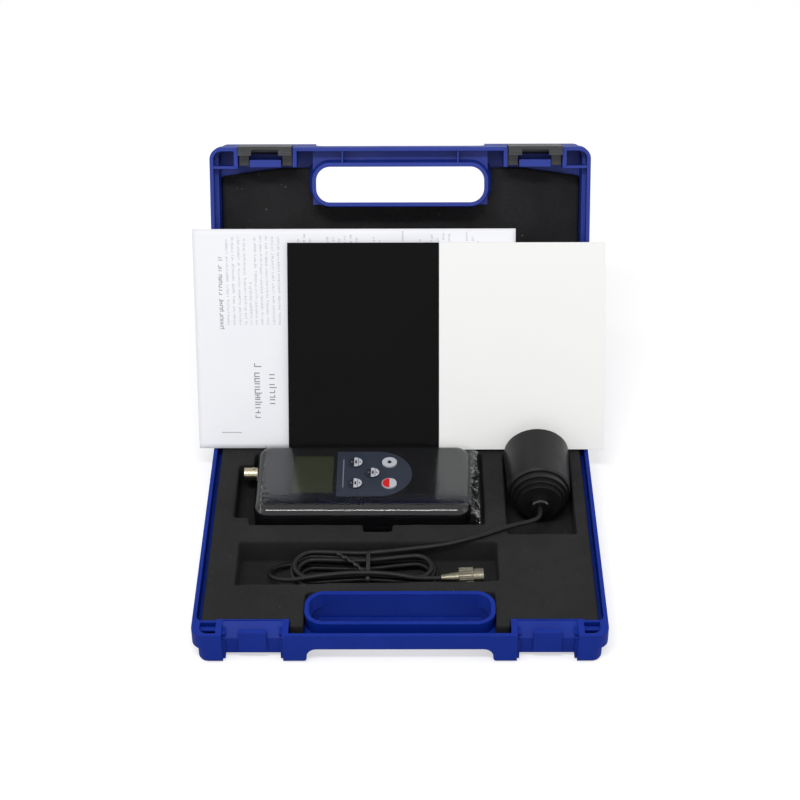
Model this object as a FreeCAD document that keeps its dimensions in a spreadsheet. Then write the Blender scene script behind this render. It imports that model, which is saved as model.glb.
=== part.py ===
import FreeCAD, Part
import Sketcher
import math
import os

# Colour meter kit: a hand-held meter, its probe on a cable, two calibration plates and a manual in a
# plastic carrying case that stands open. Millimetres, +Z up, +X to the right, the case's front faces -Y.
# The origin is the centre of the case's footprint on the bench. Trays are drawn with the rim at z = 0.

SIZES = {
    # case
    "case_width": 290, "case_depth": 223, "base_height": 26, "lid_height": 35, "seam_gap": 0.3,
    "band_height": 12.4, "band_overhang": 4, "rim_wall": 2.8, "body_wall": 1.8, "floor_thickness": 2,
    "corner_radius": 9, "body_corner_radius": 7.5, "bottom_radius": 3, "lid_opening": 115.5,
    "bar_height": 13, "bar_half_width": 65, "bar_corner_radius": 7,
    "hand_hole_half_width": 64, "hand_hole_front": 14.7, "hand_hole_back": 41.8,
    "hand_hole_radius": 10.7, "collar_wall": 3, "hole_draft": 8, "hole_lip": 1.6,
    "hole_lip_height": 3, "hole_lip_reach": 5, "foot_radius": 5, "trough_rib_place": 44,
    "trough_rib_thickness": 1,
    "latch_place": 102.6, "latch_half_width": 20.3, "latch_clearance": 0.6, "latch_wall": 3,
    "recess_wall": 4.2, "recess_lip": 0.7, "recess_half_width": 21.1, "recess_reach": 16,
    "recess_step": 6, "recess_knee": 8, "recess_bottom": 21.8, "catch_half_width": 9.8,
    "catch_face": 4, "catch_top": 1, "catch_bottom": 19.6, "bay_reach": 15, "bay_depth": 18,
    "window_half_width": 12, "window_front": 9.5, "rib_thickness": 2, "rib_place": 14.2,
    "rib_drop": 0.6, "shelf_front": 8.6, "shelf_back": 12.4, "stub_width": 1.8,
    "stub_height": 2.8, "shelf_top": 3, "shelf_thickness": 1.6,
    "ledge_inner": 18.5, "ledge_front": 5.9, "ledge_top": 3.4, "ledge_thickness": 1.8,
    # hinge
    "hinge_place": 75, "knuckle_radius": 3.2, "knuckle_half_width": 18, "lid_knuckle_half_width": 6,
    "knuckle_gap": 0.4, "knuckle_notch": 0.5, "hinge_pin_radius": 1.5, "pin_clearance": 0.05,
    "knuckle_web": 8,
    # latch
    "latch_plate_thickness": 2.6, "latch_pivot_drop": 12.5, "latch_pivot_inset": 3.4,
    "latch_barrel_radius": 2.6, "latch_pin_radius": 1.1, "latch_proud": 1, "tongue_reach": 6.6,
    "tongue_short": 1.8, "tooth_inner": 10.2, "tooth_front": 3.3, "tooth_back": 5.6,
    "tooth_height": 1.4, "tooth_flat": 0.5, "arm_inner": 12.7, "arm_back": 14.2, "arm_top": 5,
    "arm_bottom": 14,
    # foam
    "foam_gap": 0.3, "foam_drop": 1, "pad_thickness": 1.4, "lid_foam_thickness": 4,
    "foam_strip_front": 10.6, "lid_foam_side": 24.5, "lid_foam_front": 18.2,
    "lid_foam_slope": 91, "lid_foam_middle": 50, "lid_foam_half": 72,
    # room in the foam's pockets around what lies in them
    "meter_room_left": 3.3, "meter_room_right": 9.8, "meter_room_front": 2.9, "meter_room_back": 2.3,
    "socket_room": 4.4, "socket_step_front": 8.5, "socket_step_back": 14.1, "notch_offset": 0.7,
    "notch_width": 21.5, "notch_depth": 7.5, "cable_room_left": 92, "cable_room_right": 96.6,
    "cable_room_back": 20, "cable_room_front_left": 25.7, "cable_room_front_right": 21.6,
    "probe_room_side": 0.6, "probe_room_front": 26.4, "probe_room_back": 4,
    # meter, its place from the middle and the case's front edge
    "meter_length": 162, "meter_width": 78.4, "meter_height": 31.5, "meter_place_x": -28.2,
    "meter_place_y": 159.1, "face_offset_y": 3.2, "meter_lift_off": 0.7,
    "meter_corner_radius": 11, "meter_edge_radius": 6.7, "meter_wall": 2.2, "meter_back_wall": 3.6,
    "meter_split": 15, "screen_place": 39, "screen_length": 40, "screen_width": 52,
    "screen_thickness": 1.4, "lcd_length": 36, "lcd_width": 48, "lcd_thickness": 4,
    "overlay_length": 56.7, "overlay_radius": 26, "overlay_place": 8.5, "overlay_thickness": 0.4,
    "button_radius": 5.6, "button_clearance": 0.3, "button_rise": 0.9, "button_travel": 1,
    "button_flange": 0.9, "button_flange_height": 1, "button_place": 6.9,
    "button_pitch_x": 12.9, "button_pitch_y": 12.3, "button_offset_y": 0.4,
    "board_thickness": 1.6, "board_margin": 3.4, "boss_radius": 3.7,
    "boss_place_x": 72.5, "boss_place_y": 27, "screw_radius": 1.3, "screw_head_radius": 2.4,
    "screw_head_height": 2, "screw_recess": 1.2, "door_length": 56, "door_width": 46,
    "door_thickness": 1.8, "door_slide": 6, "door_clearance": 0.2, "door_end": 9,
    "cell_radius": 5.2, "cell_length": 44.5, "cell_gap": 0.3, "contact_thickness": 0.4,
    "contact_height": 8, "cell_end_wall": 5.4, "cell_side_wall": 1.4,
    # socket on the meter
    "socket_offset_y": 16, "socket_height": 22.5, "socket_radius": 4.8, "socket_bore": 3.4,
    "socket_reach": 10.4, "socket_sleeve_reach": 3.47, "socket_thread_radius": 5.6,
    "socket_inside": 5.2, "socket_pin_radius": 0.7,
    "socket_nut_radius": 6.4, "socket_nut_thickness": 2, "lug_radius": 1, "lug_reach": 5.7,
    "lug_place": 7,
    # wrapping film
    "film_gap": 0.25, "film_thickness": 0.2, "film_left_overlap": 4, "film_right_reach": 7.4,
    # probe, from its aperture end along its axis, and its place from the case's front edge
    "probe_place_x": 104.3, "probe_place_y": 195.5, "probe_axis_height": 29.15, "probe_tilt": 2.5,
    "probe_radius": 24.9, "probe_rear_radius": 22.6, "probe_length": 45, "probe_wall": 2.4,
    "probe_edge": 1, "first_step_radius": 21.2, "first_step_end": 50.5, "second_step_radius": 18.9,
    "second_step_end": 54, "third_step_radius": 16.3, "third_step_end": 57,
    "gland_radius": 7.2, "gland_end": 62.5, "gland_bore_gap": 0.1, "aperture_radius": 11,
    "aperture_ring_width": 3, "aperture_ring_thickness": 2.4, "probe_window_thickness": 1.6,
    "probe_board_place": 24, "probe_board_thickness": 1.6, "lamp_radius": 2.4, "lamp_length": 9,
    "lamp_circle": 15.5, "lamp_count": 6, "probe_board_gap": 0.1,
    # cable, hank and tie
    "cable_diameter": 3.6, "hank_place_x": -26, "hank_place_y": 78.6, "hank_top": 18.9,
    "hank_layer_step": 4.1, "hank_side_step": 4.1, "hank_half_run": 36.7, "hank_radius": 15,
    "hank_waist": 3, "hank_layers": 4, "hank_way_in": 2.7, "hank_way_in_rise": 3.1,
    "tie_place": 3, "tie_width": 3.8, "tie_thickness": 0.8,
    "tie_gap": 0.6, "tie_end_radius": 1, "tie_corner_radius": 3,
    # plug, along its axis from the cable's end
    "plug_yaw": 3.5, "boot_length": 12, "boot_tip_radius": 2.6, "boot_radius": 4.6,
    "plug_neck_radius": 4.4, "ring_length": 11, "ring_radius": 6.9, "ring_rib_count": 24,
    "ring_rib_radius": 0.45, "ring_bore_gap": 0.06, "barrel_radius": 6.1, "barrel_length": 7.4,
    "barrel_wall": 0.9, "plug_core_radius": 3.2, "plug_pin_radius": 0.6, "plug_pin_reach": 5,
    "plug_core_reach": 2, "plug_flange": 0.8,
    # plates and manual
    "plate_lean": 31.1, "plate_foot_y": 91.6, "plate_foot_height": 26.4, "plate_height": 159.8,
    "plate_thickness": 2.6, "black_left": -86.6, "plate_seam": 29.6, "white_right": 156.7,
    "plate_seam_gap": 0.2, "manual_left": -160, "manual_width": 248.5, "manual_height": 170.4,
    "manual_thickness": 0.9, "manual_gap": 0.3, "manual_foot": 0.8,
    "staple_length": 15.5, "staple_wire": 0.6,
    "staple_place_x": 21.4, "staple_place_y": 13,
    # the cutters' overrun
    "overrun": 1,
}

doc = FreeCAD.newDocument("colour_meter_kit")
sheet = doc.addObject("Spreadsheet::Sheet", "Sizes")
for row, (name, value) in enumerate(SIZES.items(), start=1):
    sheet.set(f"A{row}", name)
    sheet.set(f"B{row}", str(value))
    sheet.setAlias(f"B{row}", name)
doc.recompute()


class Size:
    """A length that keeps its sheet formula beside its value."""

    def __init__(self, value, formula):
        self.value = value
        self.formula = formula

    def combined(self, other, sign, value):
        right = other.formula if isinstance(other, Size) else repr(other)
        return Size(value, f"({self.formula} {sign} {right})")

    def __add__(self, other):
        return self.combined(other, "+", self.value + number(other))

    def __sub__(self, other):
        return self.combined(other, "-", self.value - number(other))

    def __mul__(self, other):
        return self.combined(other, "*", self.value * number(other))

    def __truediv__(self, other):
        return self.combined(other, "/", self.value / number(other))

    def __neg__(self):
        return Size(-self.value, f"(-1 * {self.formula})")


def number(size):
    return size.value if isinstance(size, Size) else size


class Sizes:
    """Reads a size of the sheet by its name, as size.case_width."""

    def __getattr__(self, name):
        return Size(float(sheet.get(name)), f"Sizes.{name}")


size = Sizes()
ZERO = Size(0.0, "0")
NODES = []
HALF_TURN = 180
QUARTER_TURN = 90
FULL_TURN = 360
NEAR = 1e-4
UP = FreeCAD.Vector(0, 0, 1)
RIGHT = FreeCAD.Vector(1, 0, 0)
BACK = FreeCAD.Vector(0, 1, 0)


def bind_datum(sketch, constraint, value):
    """Adds a sketch dimension and ties it to the sheet."""
    index = sketch.addConstraint(constraint)
    sketch.setExpression(f"Constraints[{index}]", value.formula)


def new_sketch(body, plane, offset):
    """A sketch on one of the body's own origin planes, moved along the plane's normal."""
    sketch = body.newObject("Sketcher::SketchObject", "Outline")
    support = [f for f in body.Origin.OriginFeatures if f.Role == plane][0]
    sketch.AttachmentSupport = (support, [""])
    sketch.MapMode = "FlatFace"
    sketch.setExpression("AttachmentOffset.Base.z", offset.formula)
    return sketch


def place_point(sketch, line, end, across, along):
    """Dimensions a point of the sketch from the sketch's origin."""
    for kind, distance, axis in (("DistanceX", across, -2), ("DistanceY", along, -1)):
        if distance.value == 0:
            sketch.addConstraint(Sketcher.Constraint("PointOnObject", line, end, axis))
        else:
            datum = Sketcher.Constraint(kind, -1, 1, line, end, distance.value)
            bind_datum(sketch, datum, distance)


def draw_polygon(points):
    """Returns a function that draws a closed outline of straight lines."""
    def draw(sketch):
        corners = [FreeCAD.Vector(number(a), number(b), 0) for a, b in points]
        for start, end in zip(corners, corners[1:] + corners[:1]):
            sketch.addGeometry(Part.LineSegment(start, end))
        for line in range(len(corners)):
            following = (line + 1) % len(corners)
            sketch.addConstraint(Sketcher.Constraint("Coincident", line, 2, following, 1))
        for line, (across, along) in enumerate(points):
            place_point(sketch, line, 1, across, along)
    return draw


def draw_circle(across, along, radius):
    """Returns a function that draws a circle."""
    def draw(sketch):
        centre = FreeCAD.Vector(number(across), number(along), 0)
        sketch.addGeometry(Part.Circle(centre, UP, radius.value))
        place_point(sketch, 0, 3, across, along)
        bind_datum(sketch, Sketcher.Constraint("Radius", 0, radius.value), radius)
    return draw


def draw_rounded(left, right, front, back, radius):
    """Returns a function that draws a rectangle with four rounded corners."""
    def draw(sketch):
        r = radius.value
        x0, x1, y0, y1 = left.value, right.value, front.value, back.value
        centres = ((x1 - r, y1 - r), (x0 + r, y1 - r), (x0 + r, y0 + r), (x1 - r, y0 + r))
        for corner, (x, y) in enumerate(centres):
            circle = Part.Circle(FreeCAD.Vector(x, y, 0), UP, r)
            begin = corner * math.pi / 2
            sketch.addGeometry(Part.ArcOfCircle(circle, begin, begin + math.pi / 2))
        sides = (((x1 - r, y1), (x0 + r, y1)), ((x0, y1 - r), (x0, y0 + r)),
                 ((x0 + r, y0), (x1 - r, y0)), ((x1, y0 + r), (x1, y1 - r)))
        for start, end in sides:
            sketch.addGeometry(Part.LineSegment(FreeCAD.Vector(*start, 0), FreeCAD.Vector(*end, 0)))
        for corner in range(4):
            side = corner + 4
            following = (corner + 1) % 4
            sketch.addConstraint(Sketcher.Constraint("Tangent", corner, 2, side, 1))
            sketch.addConstraint(Sketcher.Constraint("Tangent", side, 2, following, 1))
        for corner in range(1, 4):
            sketch.addConstraint(Sketcher.Constraint("Equal", 0, corner))
        for side in (4, 6):
            sketch.addConstraint(Sketcher.Constraint("Horizontal", side))
        bind_datum(sketch, Sketcher.Constraint("Radius", 0, r), radius)
        bind_datum(sketch, Sketcher.Constraint("DistanceX", -1, 1, 5, 1, x0), left)
        bind_datum(sketch, Sketcher.Constraint("DistanceX", -1, 1, 7, 1, x1), right)
        bind_datum(sketch, Sketcher.Constraint("DistanceY", -1, 1, 6, 1, y0), front)
        bind_datum(sketch, Sketcher.Constraint("DistanceY", -1, 1, 4, 1, y1), back)
    return draw


def extrude(body, plane, draw, start, stop, remove=False):
    """Adds or removes an outline drawn on a plane, between two places along the plane's axis."""
    # the sheet's XZ plane looks along -Y, so a sketch there starts at the far place
    away = plane == "XZ_Plane"
    sketch = new_sketch(body, plane, -stop if away else start)
    draw(sketch)
    doc.recompute()
    before = body.Shape.Volume if remove else 0
    feature = body.newObject("PartDesign::Pocket" if remove else "PartDesign::Pad", "Step")
    feature.Profile = sketch
    feature.Length = (stop - start).value
    feature.setExpression("Length", (stop - start).formula)
    feature.Reversed = remove
    doc.recompute()
    if remove and not body.Shape.Volume < before:
        raise ValueError(f"a pocket of {body.Label} removes nothing")
    return feature


def new_body(label):
    body = doc.addObject("PartDesign::Body", label)
    body.Label = label
    return body


def solid(label, plane, draw, start, stop):
    """A body made of one extruded outline."""
    body = new_body(label)
    extrude(body, plane, draw, start, stop)
    return body


def block(label, left, right, front, back, low, high):
    """A straight block between two places along each axis."""
    corners = ((left, front), (right, front), (right, back), (left, back))
    return solid(label, "XY_Plane", draw_polygon(corners), low, high)


def rod(label, left, right, y, z, radius):
    """A round rod along X."""
    return solid(label, "YZ_Plane", draw_circle(y, z, radius), left, right)


def turned(label, outline):
    """A solid of revolution about Y, from (radius, place along Y) points."""
    body = new_body(label)
    sketch = new_sketch(body, "XY_Plane", ZERO)
    draw_polygon(outline)(sketch)
    doc.recompute()
    turn = body.newObject("PartDesign::Revolution", "Turn")
    turn.Profile = sketch
    turn.ReferenceAxis = (sketch, ["V_Axis"])
    turn.Angle = FULL_TURN
    doc.recompute()
    return body


def fillet_edges(body, radius, chosen):
    """Rounds the edges of a body that a test picks."""
    tip = body.Tip
    names = [f"Edge{i}" for i, edge in enumerate(tip.Shape.Edges, start=1) if chosen(edge)]
    fillet = body.newObject("PartDesign::Fillet", "Round")
    fillet.Base = (tip, names)
    fillet.setExpression("Radius", radius.formula)
    doc.recompute()
    return body


def at_height(height):
    """A test for edges that lie flat at one height."""
    def chosen(edge):
        box = edge.BoundBox
        return abs(box.ZMin - height.value) < NEAR and abs(box.ZMax - height.value) < NEAR
    return chosen


def joined(label, parts):
    """One solid from several that meet."""
    fuse = doc.addObject("Part::MultiFuse", label)
    fuse.Label = label
    fuse.Shapes = parts
    fuse.Refine = True
    doc.recompute()
    return fuse


def less(label, whole, tools):
    """A solid with others cut out of it."""
    tool = tools[0] if len(tools) == 1 else joined(f"{label}_tools", tools)
    result = doc.addObject("Part::Cut", label)
    result.Label = label
    result.Base = whole
    result.Tool = tool
    doc.recompute()
    return result


def shared(label, first, second):
    """What two solids have in common."""
    result = doc.addObject("Part::Common", label)
    result.Label = label
    result.Base = first
    result.Tool = second
    doc.recompute()
    return result


def given_shape(label, shape):
    """A piece whose shape is worked out below rather than drawn."""
    feature = doc.addObject("Part::Feature", label)
    feature.Label = label
    feature.Shape = shape
    return feature


def keep(thing, pose=None):
    """Hands in a finished sub-part, in its place."""
    if pose is not None:
        thing.Placement = pose
    NODES.append(thing)
    return thing


def moved(x, y, z):
    return FreeCAD.Placement(FreeCAD.Vector(number(x), number(y), number(z)), FreeCAD.Rotation())


def turned_by(axis, degrees):
    return FreeCAD.Placement(FreeCAD.Vector(), FreeCAD.Rotation(axis, degrees))


half = size.case_width / 2
front = -size.case_depth / 2
back = size.case_depth / 2
rim = size.base_height
hinge_height = size.base_height + size.seam_gap / 2
cable_radius = size.cable_diameter / 2
base_pose = moved(ZERO, ZERO, rim)
opening = (moved(ZERO, back, hinge_height) * turned_by(RIGHT, -size.lid_opening.value)
           * moved(ZERO, -back, -hinge_height))
lid_pose = opening * moved(ZERO, ZERO, rim + size.seam_gap) * turned_by(BACK, HALF_TURN)


def tray_outer(label, height):
    """The outer form of a half of the case: a wide rim band over an inset body with a rounded bottom."""
    band = solid(f"{label}_band", "XY_Plane",
                 draw_rounded(-half, half, front, back, size.corner_radius), -size.band_height, ZERO)
    body_half = half - size.band_overhang
    body = solid(f"{label}_body", "XY_Plane",
                 draw_rounded(-body_half, body_half, front, back - size.band_overhang,
                              size.body_corner_radius), -height, -size.rim_wall)
    fillet_edges(body, size.bottom_radius, at_height(-height))
    return joined(f"{label}_outer", [band, body])


def tray_cavities(label, height, wide_from):
    """The hollow of a half of the case, in two widths."""
    wide = half - size.rim_wall
    wide_cut = solid(f"{label}_wide_cut", "XY_Plane",
                     draw_rounded(-wide, wide, front + wide_from, back - size.rim_wall,
                                  size.corner_radius - size.rim_wall),
                     size.body_wall - size.band_height, size.overrun)
    narrow = half - size.band_overhang - size.body_wall
    narrow_cut = solid(f"{label}_narrow_cut", "XY_Plane",
                       draw_rounded(-narrow, narrow, front + size.rim_wall,
                                    back - size.band_overhang - size.body_wall,
                                    size.body_corner_radius - size.body_wall),
                       size.floor_thickness - height, size.overrun)
    return [wide_cut, narrow_cut]


def draw_hole(grown):
    """Returns a function that draws the hand-hole's outline, grown on every side."""
    return draw_rounded(-size.hand_hole_half_width - grown, size.hand_hole_half_width + grown,
                        front + size.hand_hole_front - grown, front + size.hand_hole_back + grown,
                        size.hand_hole_radius + grown)


def hole_form(label, grown, height, draft):
    """A form that fills the hand-hole, wider towards the case's outside if it is drafted."""
    body = new_body(label)
    sketch = new_sketch(body, "XY_Plane", ZERO)
    draw_hole(grown)(sketch)
    doc.recompute()
    pad = body.newObject("PartDesign::Pad", "Depth")
    pad.Profile = sketch
    pad.Reversed = True
    pad.setExpression("Length", height.formula)
    if draft is not ZERO:
        pad.setExpression("TaperAngle", draft.formula)
    doc.recompute()
    return body


def hand_hole(label, height, draft):
    """Walls around the hand-hole, and what is cut away under the handle bar."""
    grown = size.hand_hole_half_width + size.collar_wall
    far = front + size.hand_hole_back + size.collar_wall
    collar = hole_form(f"{label}_collar", size.collar_wall, height, draft)
    shelf = block(f"{label}_shelf", -grown, grown, front, far, -height,
                  size.floor_thickness - size.bar_height)
    hole = hole_form(f"{label}_hole", ZERO, height + size.overrun, draft)
    rim_hole = solid(f"{label}_rim_hole", "XY_Plane", draw_hole(ZERO), -size.overrun, size.overrun)
    under = solid(f"{label}_under_bar", "XZ_Plane",
                  draw_rounded(-size.bar_half_width, size.bar_half_width,
                               -height - size.bar_corner_radius * 2, -size.bar_height,
                               size.bar_corner_radius),
                  front - size.overrun, front + size.hand_hole_back)
    cuts = [hole, rim_hole, under]
    for side in (-1, 1):
        inner = size.bar_half_width * side
        outer = (size.bar_half_width + size.foot_radius) * side
        left, right = (inner, outer) if side > 0 else (outer, inner)
        flare = block(f"{label}_flare_{side}", left, right, front - size.overrun,
                      front + size.hand_hole_back, -height - size.overrun,
                      size.foot_radius - height)
        heel = solid(f"{label}_heel_{side}", "XZ_Plane",
                     draw_circle(outer, size.foot_radius - height, size.foot_radius),
                     front - size.overrun * 2, front + size.hand_hole_back + size.overrun)
        cuts.append(less(f"{label}_foot_cut_{side}", flare, [heel]))
    return [collar, shelf], cuts


def corner_ribs(label, wall, with_shelf):
    """The rib behind each corner pocket, and perhaps a low shelf in the pocket."""
    ribs = []
    low = size.floor_thickness - size.bar_height
    for side in (-1, 1):
        inner = (size.latch_place + wall) * side
        outer = (half - size.rim_wall / 2) * side
        left, right = (inner, outer) if side > 0 else (outer, inner)
        ribs.append(block(f"{label}_corner_rib_{side}", left, right, front + size.rib_place,
                          front + size.rib_place + size.rib_thickness, low, -size.rib_drop))
        if with_shelf:
            ribs.append(block(f"{label}_corner_shelf_{side}", left, right, front + size.shelf_front,
                              front + size.shelf_back, -size.shelf_top - size.shelf_thickness,
                              -size.shelf_top))
    return ribs


def trough_ribs(label):
    """Thin ribs across the trough of the handle bar."""
    ribs = []
    for side in (-1, 1):
        place = size.trough_rib_place * side
        ribs.append(block(f"{label}_trough_rib_{side}", place - size.trough_rib_thickness / 2,
                          place + size.trough_rib_thickness / 2, front + size.rim_wall / 2,
                          front + size.hand_hole_front - size.collar_wall / 2,
                          size.floor_thickness - size.bar_height, -size.rib_drop))
    return ribs


def knuckles(label, spans, web_low, web_high):
    """Hinge knuckles along the back edge, each a barrel on a web."""
    parts = []
    for i, (left, right) in enumerate(spans):
        parts.append(rod(f"{label}_barrel_{i}", left, right, back, size.seam_gap / 2,
                         size.knuckle_radius))
        parts.append(block(f"{label}_web_{i}", left, right, back - size.rim_wall,
                           back + size.knuckle_radius, web_low, web_high))
    return parts


def notches(label, spans, height):
    """Room in the back wall for the other half's knuckles."""
    radius = size.knuckle_radius + size.knuckle_notch
    return [rod(f"{label}_notch_{i}", left - size.knuckle_gap, right + size.knuckle_gap, back, height,
                radius) for i, (left, right) in enumerate(spans)]


def hinge_spans():
    """Where the base's and the lid's knuckles stand along the hinge."""
    base_spans, lid_spans = [], []
    for side in (-1, 1):
        centre = size.hinge_place * side
        inner = size.lid_knuckle_half_width + size.knuckle_gap
        base_spans.append((centre - size.knuckle_half_width, centre - inner))
        base_spans.append((centre + inner, centre + size.knuckle_half_width))
        lid_spans.append((centre - size.lid_knuckle_half_width, centre + size.lid_knuckle_half_width))
    return base_spans, lid_spans


def pin_bores(label, height, radius):
    """The holes through one half's knuckles for the two hinge pins."""
    reach = size.knuckle_half_width + size.overrun
    return [rod(f"{label}_bore_{side}", size.hinge_place * side - reach, size.hinge_place * side + reach,
                back, height, radius) for side in (-1, 1)]


def recess_profile():
    """Side view of the slope that the latch's thumb edge drops into."""
    return ((front - size.overrun, size.overrun), (front - size.overrun, -size.recess_bottom),
            (front + size.recess_step, -size.recess_bottom),
            (front + size.recess_step, -size.recess_knee),
            (front + size.recess_reach, -size.overrun), (front + size.recess_reach, size.overrun))


def make_base_shell():
    """The case's lower half, with a latch recess, catch and keeper ledges in each front corner."""
    label = "base_shell"
    height = size.base_height
    base_spans, lid_spans = hinge_spans()
    outer = tray_outer(label, height)
    hollow = less(f"{label}_hollow", outer, tray_cavities(label, height, size.rib_place))
    walls, cuts = hand_hole(label, height, ZERO)
    extras = list(walls) + corner_ribs(label, size.recess_half_width, True)
    straight = size.hand_hole_half_width - size.hand_hole_radius + size.hole_lip_reach
    late = [block(f"{label}_lip", -straight, straight, front + size.hand_hole_back - size.hole_lip,
                  front + size.hand_hole_back + size.collar_wall / 2, -height,
                  size.hole_lip_height - height)]
    for side in (-1, 1):
        centre = size.latch_place * side
        reach = size.recess_half_width + size.recess_wall
        extras.append(block(f"{label}_latch_block_{side}", centre - reach, centre + reach, front,
                            front + size.recess_reach + size.recess_lip, -height, ZERO))
        left, right = centre - size.recess_half_width, centre + size.recess_half_width
        cuts.append(solid(f"{label}_recess_{side}", "YZ_Plane", draw_polygon(recess_profile()),
                          left, right))
        cuts.append(block(f"{label}_under_recess_{side}", left, right, front - size.overrun,
                          front + size.recess_reach - size.recess_step, -height - size.overrun,
                          -size.recess_bottom))
        late.append(block(f"{label}_catch_{side}", centre - size.catch_half_width,
                          centre + size.catch_half_width, front + size.catch_face,
                          front + size.recess_step + size.floor_thickness, -size.catch_bottom,
                          -size.catch_top))
        for hand in (-1, 1):
            inner = size.ledge_inner * hand
            outer_x = (size.recess_half_width + size.recess_wall / 2) * hand
            low_x, high_x = (inner, outer_x) if hand > 0 else (outer_x, inner)
            inner = (size.recess_half_width - size.stub_width) * hand
            stub_low, stub_high = (inner, outer_x) if hand > 0 else (outer_x, inner)
            late.append(block(f"{label}_stub_{side}_{hand}", centre + stub_low, centre + stub_high,
                              front + size.recess_step / 2,
                              front + size.recess_step + size.floor_thickness,
                              -size.recess_bottom - size.stub_height, -size.recess_knee))
            late.append(block(f"{label}_ledge_{side}_{hand}", centre + low_x, centre + high_x,
                              front + size.ledge_front, front + size.recess_reach,
                              -size.ledge_top - size.ledge_thickness, -size.ledge_top))
    inside = shared(f"{label}_fill", joined(f"{label}_extras", extras), outer)
    whole = joined(f"{label}_whole", [hollow, inside])
    cut = less(f"{label}_cut", whole, cuts)
    pieces = [cut] + late + knuckles(label, base_spans, -size.knuckle_web, ZERO)
    full = joined(f"{label}_full", pieces)
    tools = (notches(label, lid_spans, size.seam_gap / 2)
             + pin_bores(label, size.seam_gap / 2, size.hinge_pin_radius + size.pin_clearance))
    return keep(less(label, full, tools), base_pose)


def make_lid_shell():
    """The case's upper half, with an open bay in each front corner for a latch."""
    label = "lid_shell"
    height = size.lid_height
    base_spans, lid_spans = hinge_spans()
    outer = tray_outer(label, height)
    hollow = less(f"{label}_hollow", outer, tray_cavities(label, height, size.rim_wall))
    walls, cuts = hand_hole(label, height, size.hole_draft)
    bay = size.latch_half_width + size.latch_clearance
    extras = list(walls) + corner_ribs(label, bay, False) + trough_ribs(label)
    late = []
    for side in (-1, 1):
        centre = size.latch_place * side
        reach = bay + size.latch_wall
        extras.append(block(f"{label}_latch_block_{side}", centre - reach, centre + reach, front,
                            front + size.bay_reach, -size.bay_depth - size.floor_thickness, ZERO))
        cuts.append(block(f"{label}_bay_{side}", centre - bay, centre + bay, front - size.overrun,
                          front + size.bay_reach + size.overrun, -size.bay_depth, size.overrun))
        late.append(block(f"{label}_window_{side}", centre - size.window_half_width,
                          centre + size.window_half_width, front + size.window_front,
                          front + size.bay_reach, -size.bay_depth - size.floor_thickness / 2,
                          -size.rib_drop))
    inside = shared(f"{label}_fill", joined(f"{label}_extras", extras), outer)
    whole = joined(f"{label}_whole", [hollow, inside])
    cut = less(f"{label}_cut", whole, cuts)
    pieces = [cut] + late + knuckles(label, lid_spans, -size.knuckle_web, ZERO)
    full = joined(f"{label}_full", pieces)
    tools = (notches(label, base_spans, size.seam_gap / 2)
             + pin_bores(label, size.seam_gap / 2, size.hinge_pin_radius + size.pin_clearance)
             + [rod(f"{label}_latch_bore_{side}",
                    size.latch_place * side - size.latch_half_width - size.latch_wall,
                    size.latch_place * side + size.latch_half_width + size.latch_wall,
                    front + size.latch_pivot_inset, -size.latch_pivot_drop,
                    size.latch_pin_radius + size.pin_clearance) for side in (-1, 1)])
    return keep(less(label, full, tools), lid_pose)


def make_hinge_pins():
    pins = [rod(f"hinge_pin_{side}", size.hinge_place * side - size.knuckle_half_width,
                size.hinge_place * side + size.knuckle_half_width, back, size.seam_gap / 2,
                size.hinge_pin_radius) for side in (-1, 1)]
    return keep(joined("hinge_pins", pins), base_pose)


def make_latch(label, side):
    """A latch: a plate on a barrel, with two arms, and a tongue with two teeth that hook the base."""
    centre = size.latch_place * side
    left, right = centre - size.latch_half_width, centre + size.latch_half_width
    pivot_y = front + size.latch_pivot_inset
    face = front - size.latch_proud
    plate = block(f"{label}_plate", left, right, face, face + size.latch_plate_thickness,
                  -size.latch_pivot_drop - size.latch_barrel_radius, ZERO)
    barrel = rod(f"{label}_barrel", left, right, pivot_y, -size.latch_pivot_drop,
                 size.latch_barrel_radius)
    tongue_back = face + size.latch_plate_thickness
    short = size.tongue_reach - size.tongue_short
    tongue = block(f"{label}_tongue", left, right, face, tongue_back, -size.tongue_reach, short)
    parts = [plate, barrel, tongue]
    for hand in (-1, 1):
        inner, outer_x = size.tooth_inner * hand, size.latch_half_width * hand
        low_x, high_x = (inner, outer_x) if hand > 0 else (outer_x, inner)
        tooth = ((tongue_back - size.tooth_flat, short - size.tooth_height),
                 (front + size.tooth_back, short - size.tooth_height),
                 (front + size.tooth_back, size.tongue_reach),
                 (front + size.tooth_back - size.tooth_flat, size.tongue_reach),
                 (front + size.tooth_front, short), (tongue_back - size.tooth_flat, short))
        parts.append(solid(f"{label}_tooth_{hand}", "YZ_Plane", draw_polygon(tooth),
                           centre + low_x, centre + high_x))
        inner = size.arm_inner * hand
        low_x, high_x = (inner, outer_x) if hand > 0 else (outer_x, inner)
        parts.append(block(f"{label}_arm_{hand}", centre + low_x, centre + high_x,
                           tongue_back - size.tooth_flat, front + size.arm_back, -size.arm_bottom,
                           -size.arm_top))
    bore = rod(f"{label}_bore", left - size.overrun, right + size.overrun, pivot_y,
               -size.latch_pivot_drop, size.latch_pin_radius + size.pin_clearance)
    return keep(less(label, joined(f"{label}_whole", parts), [bore]), lid_pose)


def make_latch_pins():
    pins = []
    for side in (-1, 1):
        reach = size.latch_half_width + size.latch_wall
        centre = size.latch_place * side
        pins.append(rod(f"latch_pin_{side}", centre - reach, centre + reach,
                        front + size.latch_pivot_inset, -size.latch_pivot_drop, size.latch_pin_radius))
    return keep(joined("latch_pins", pins), lid_pose)


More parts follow.
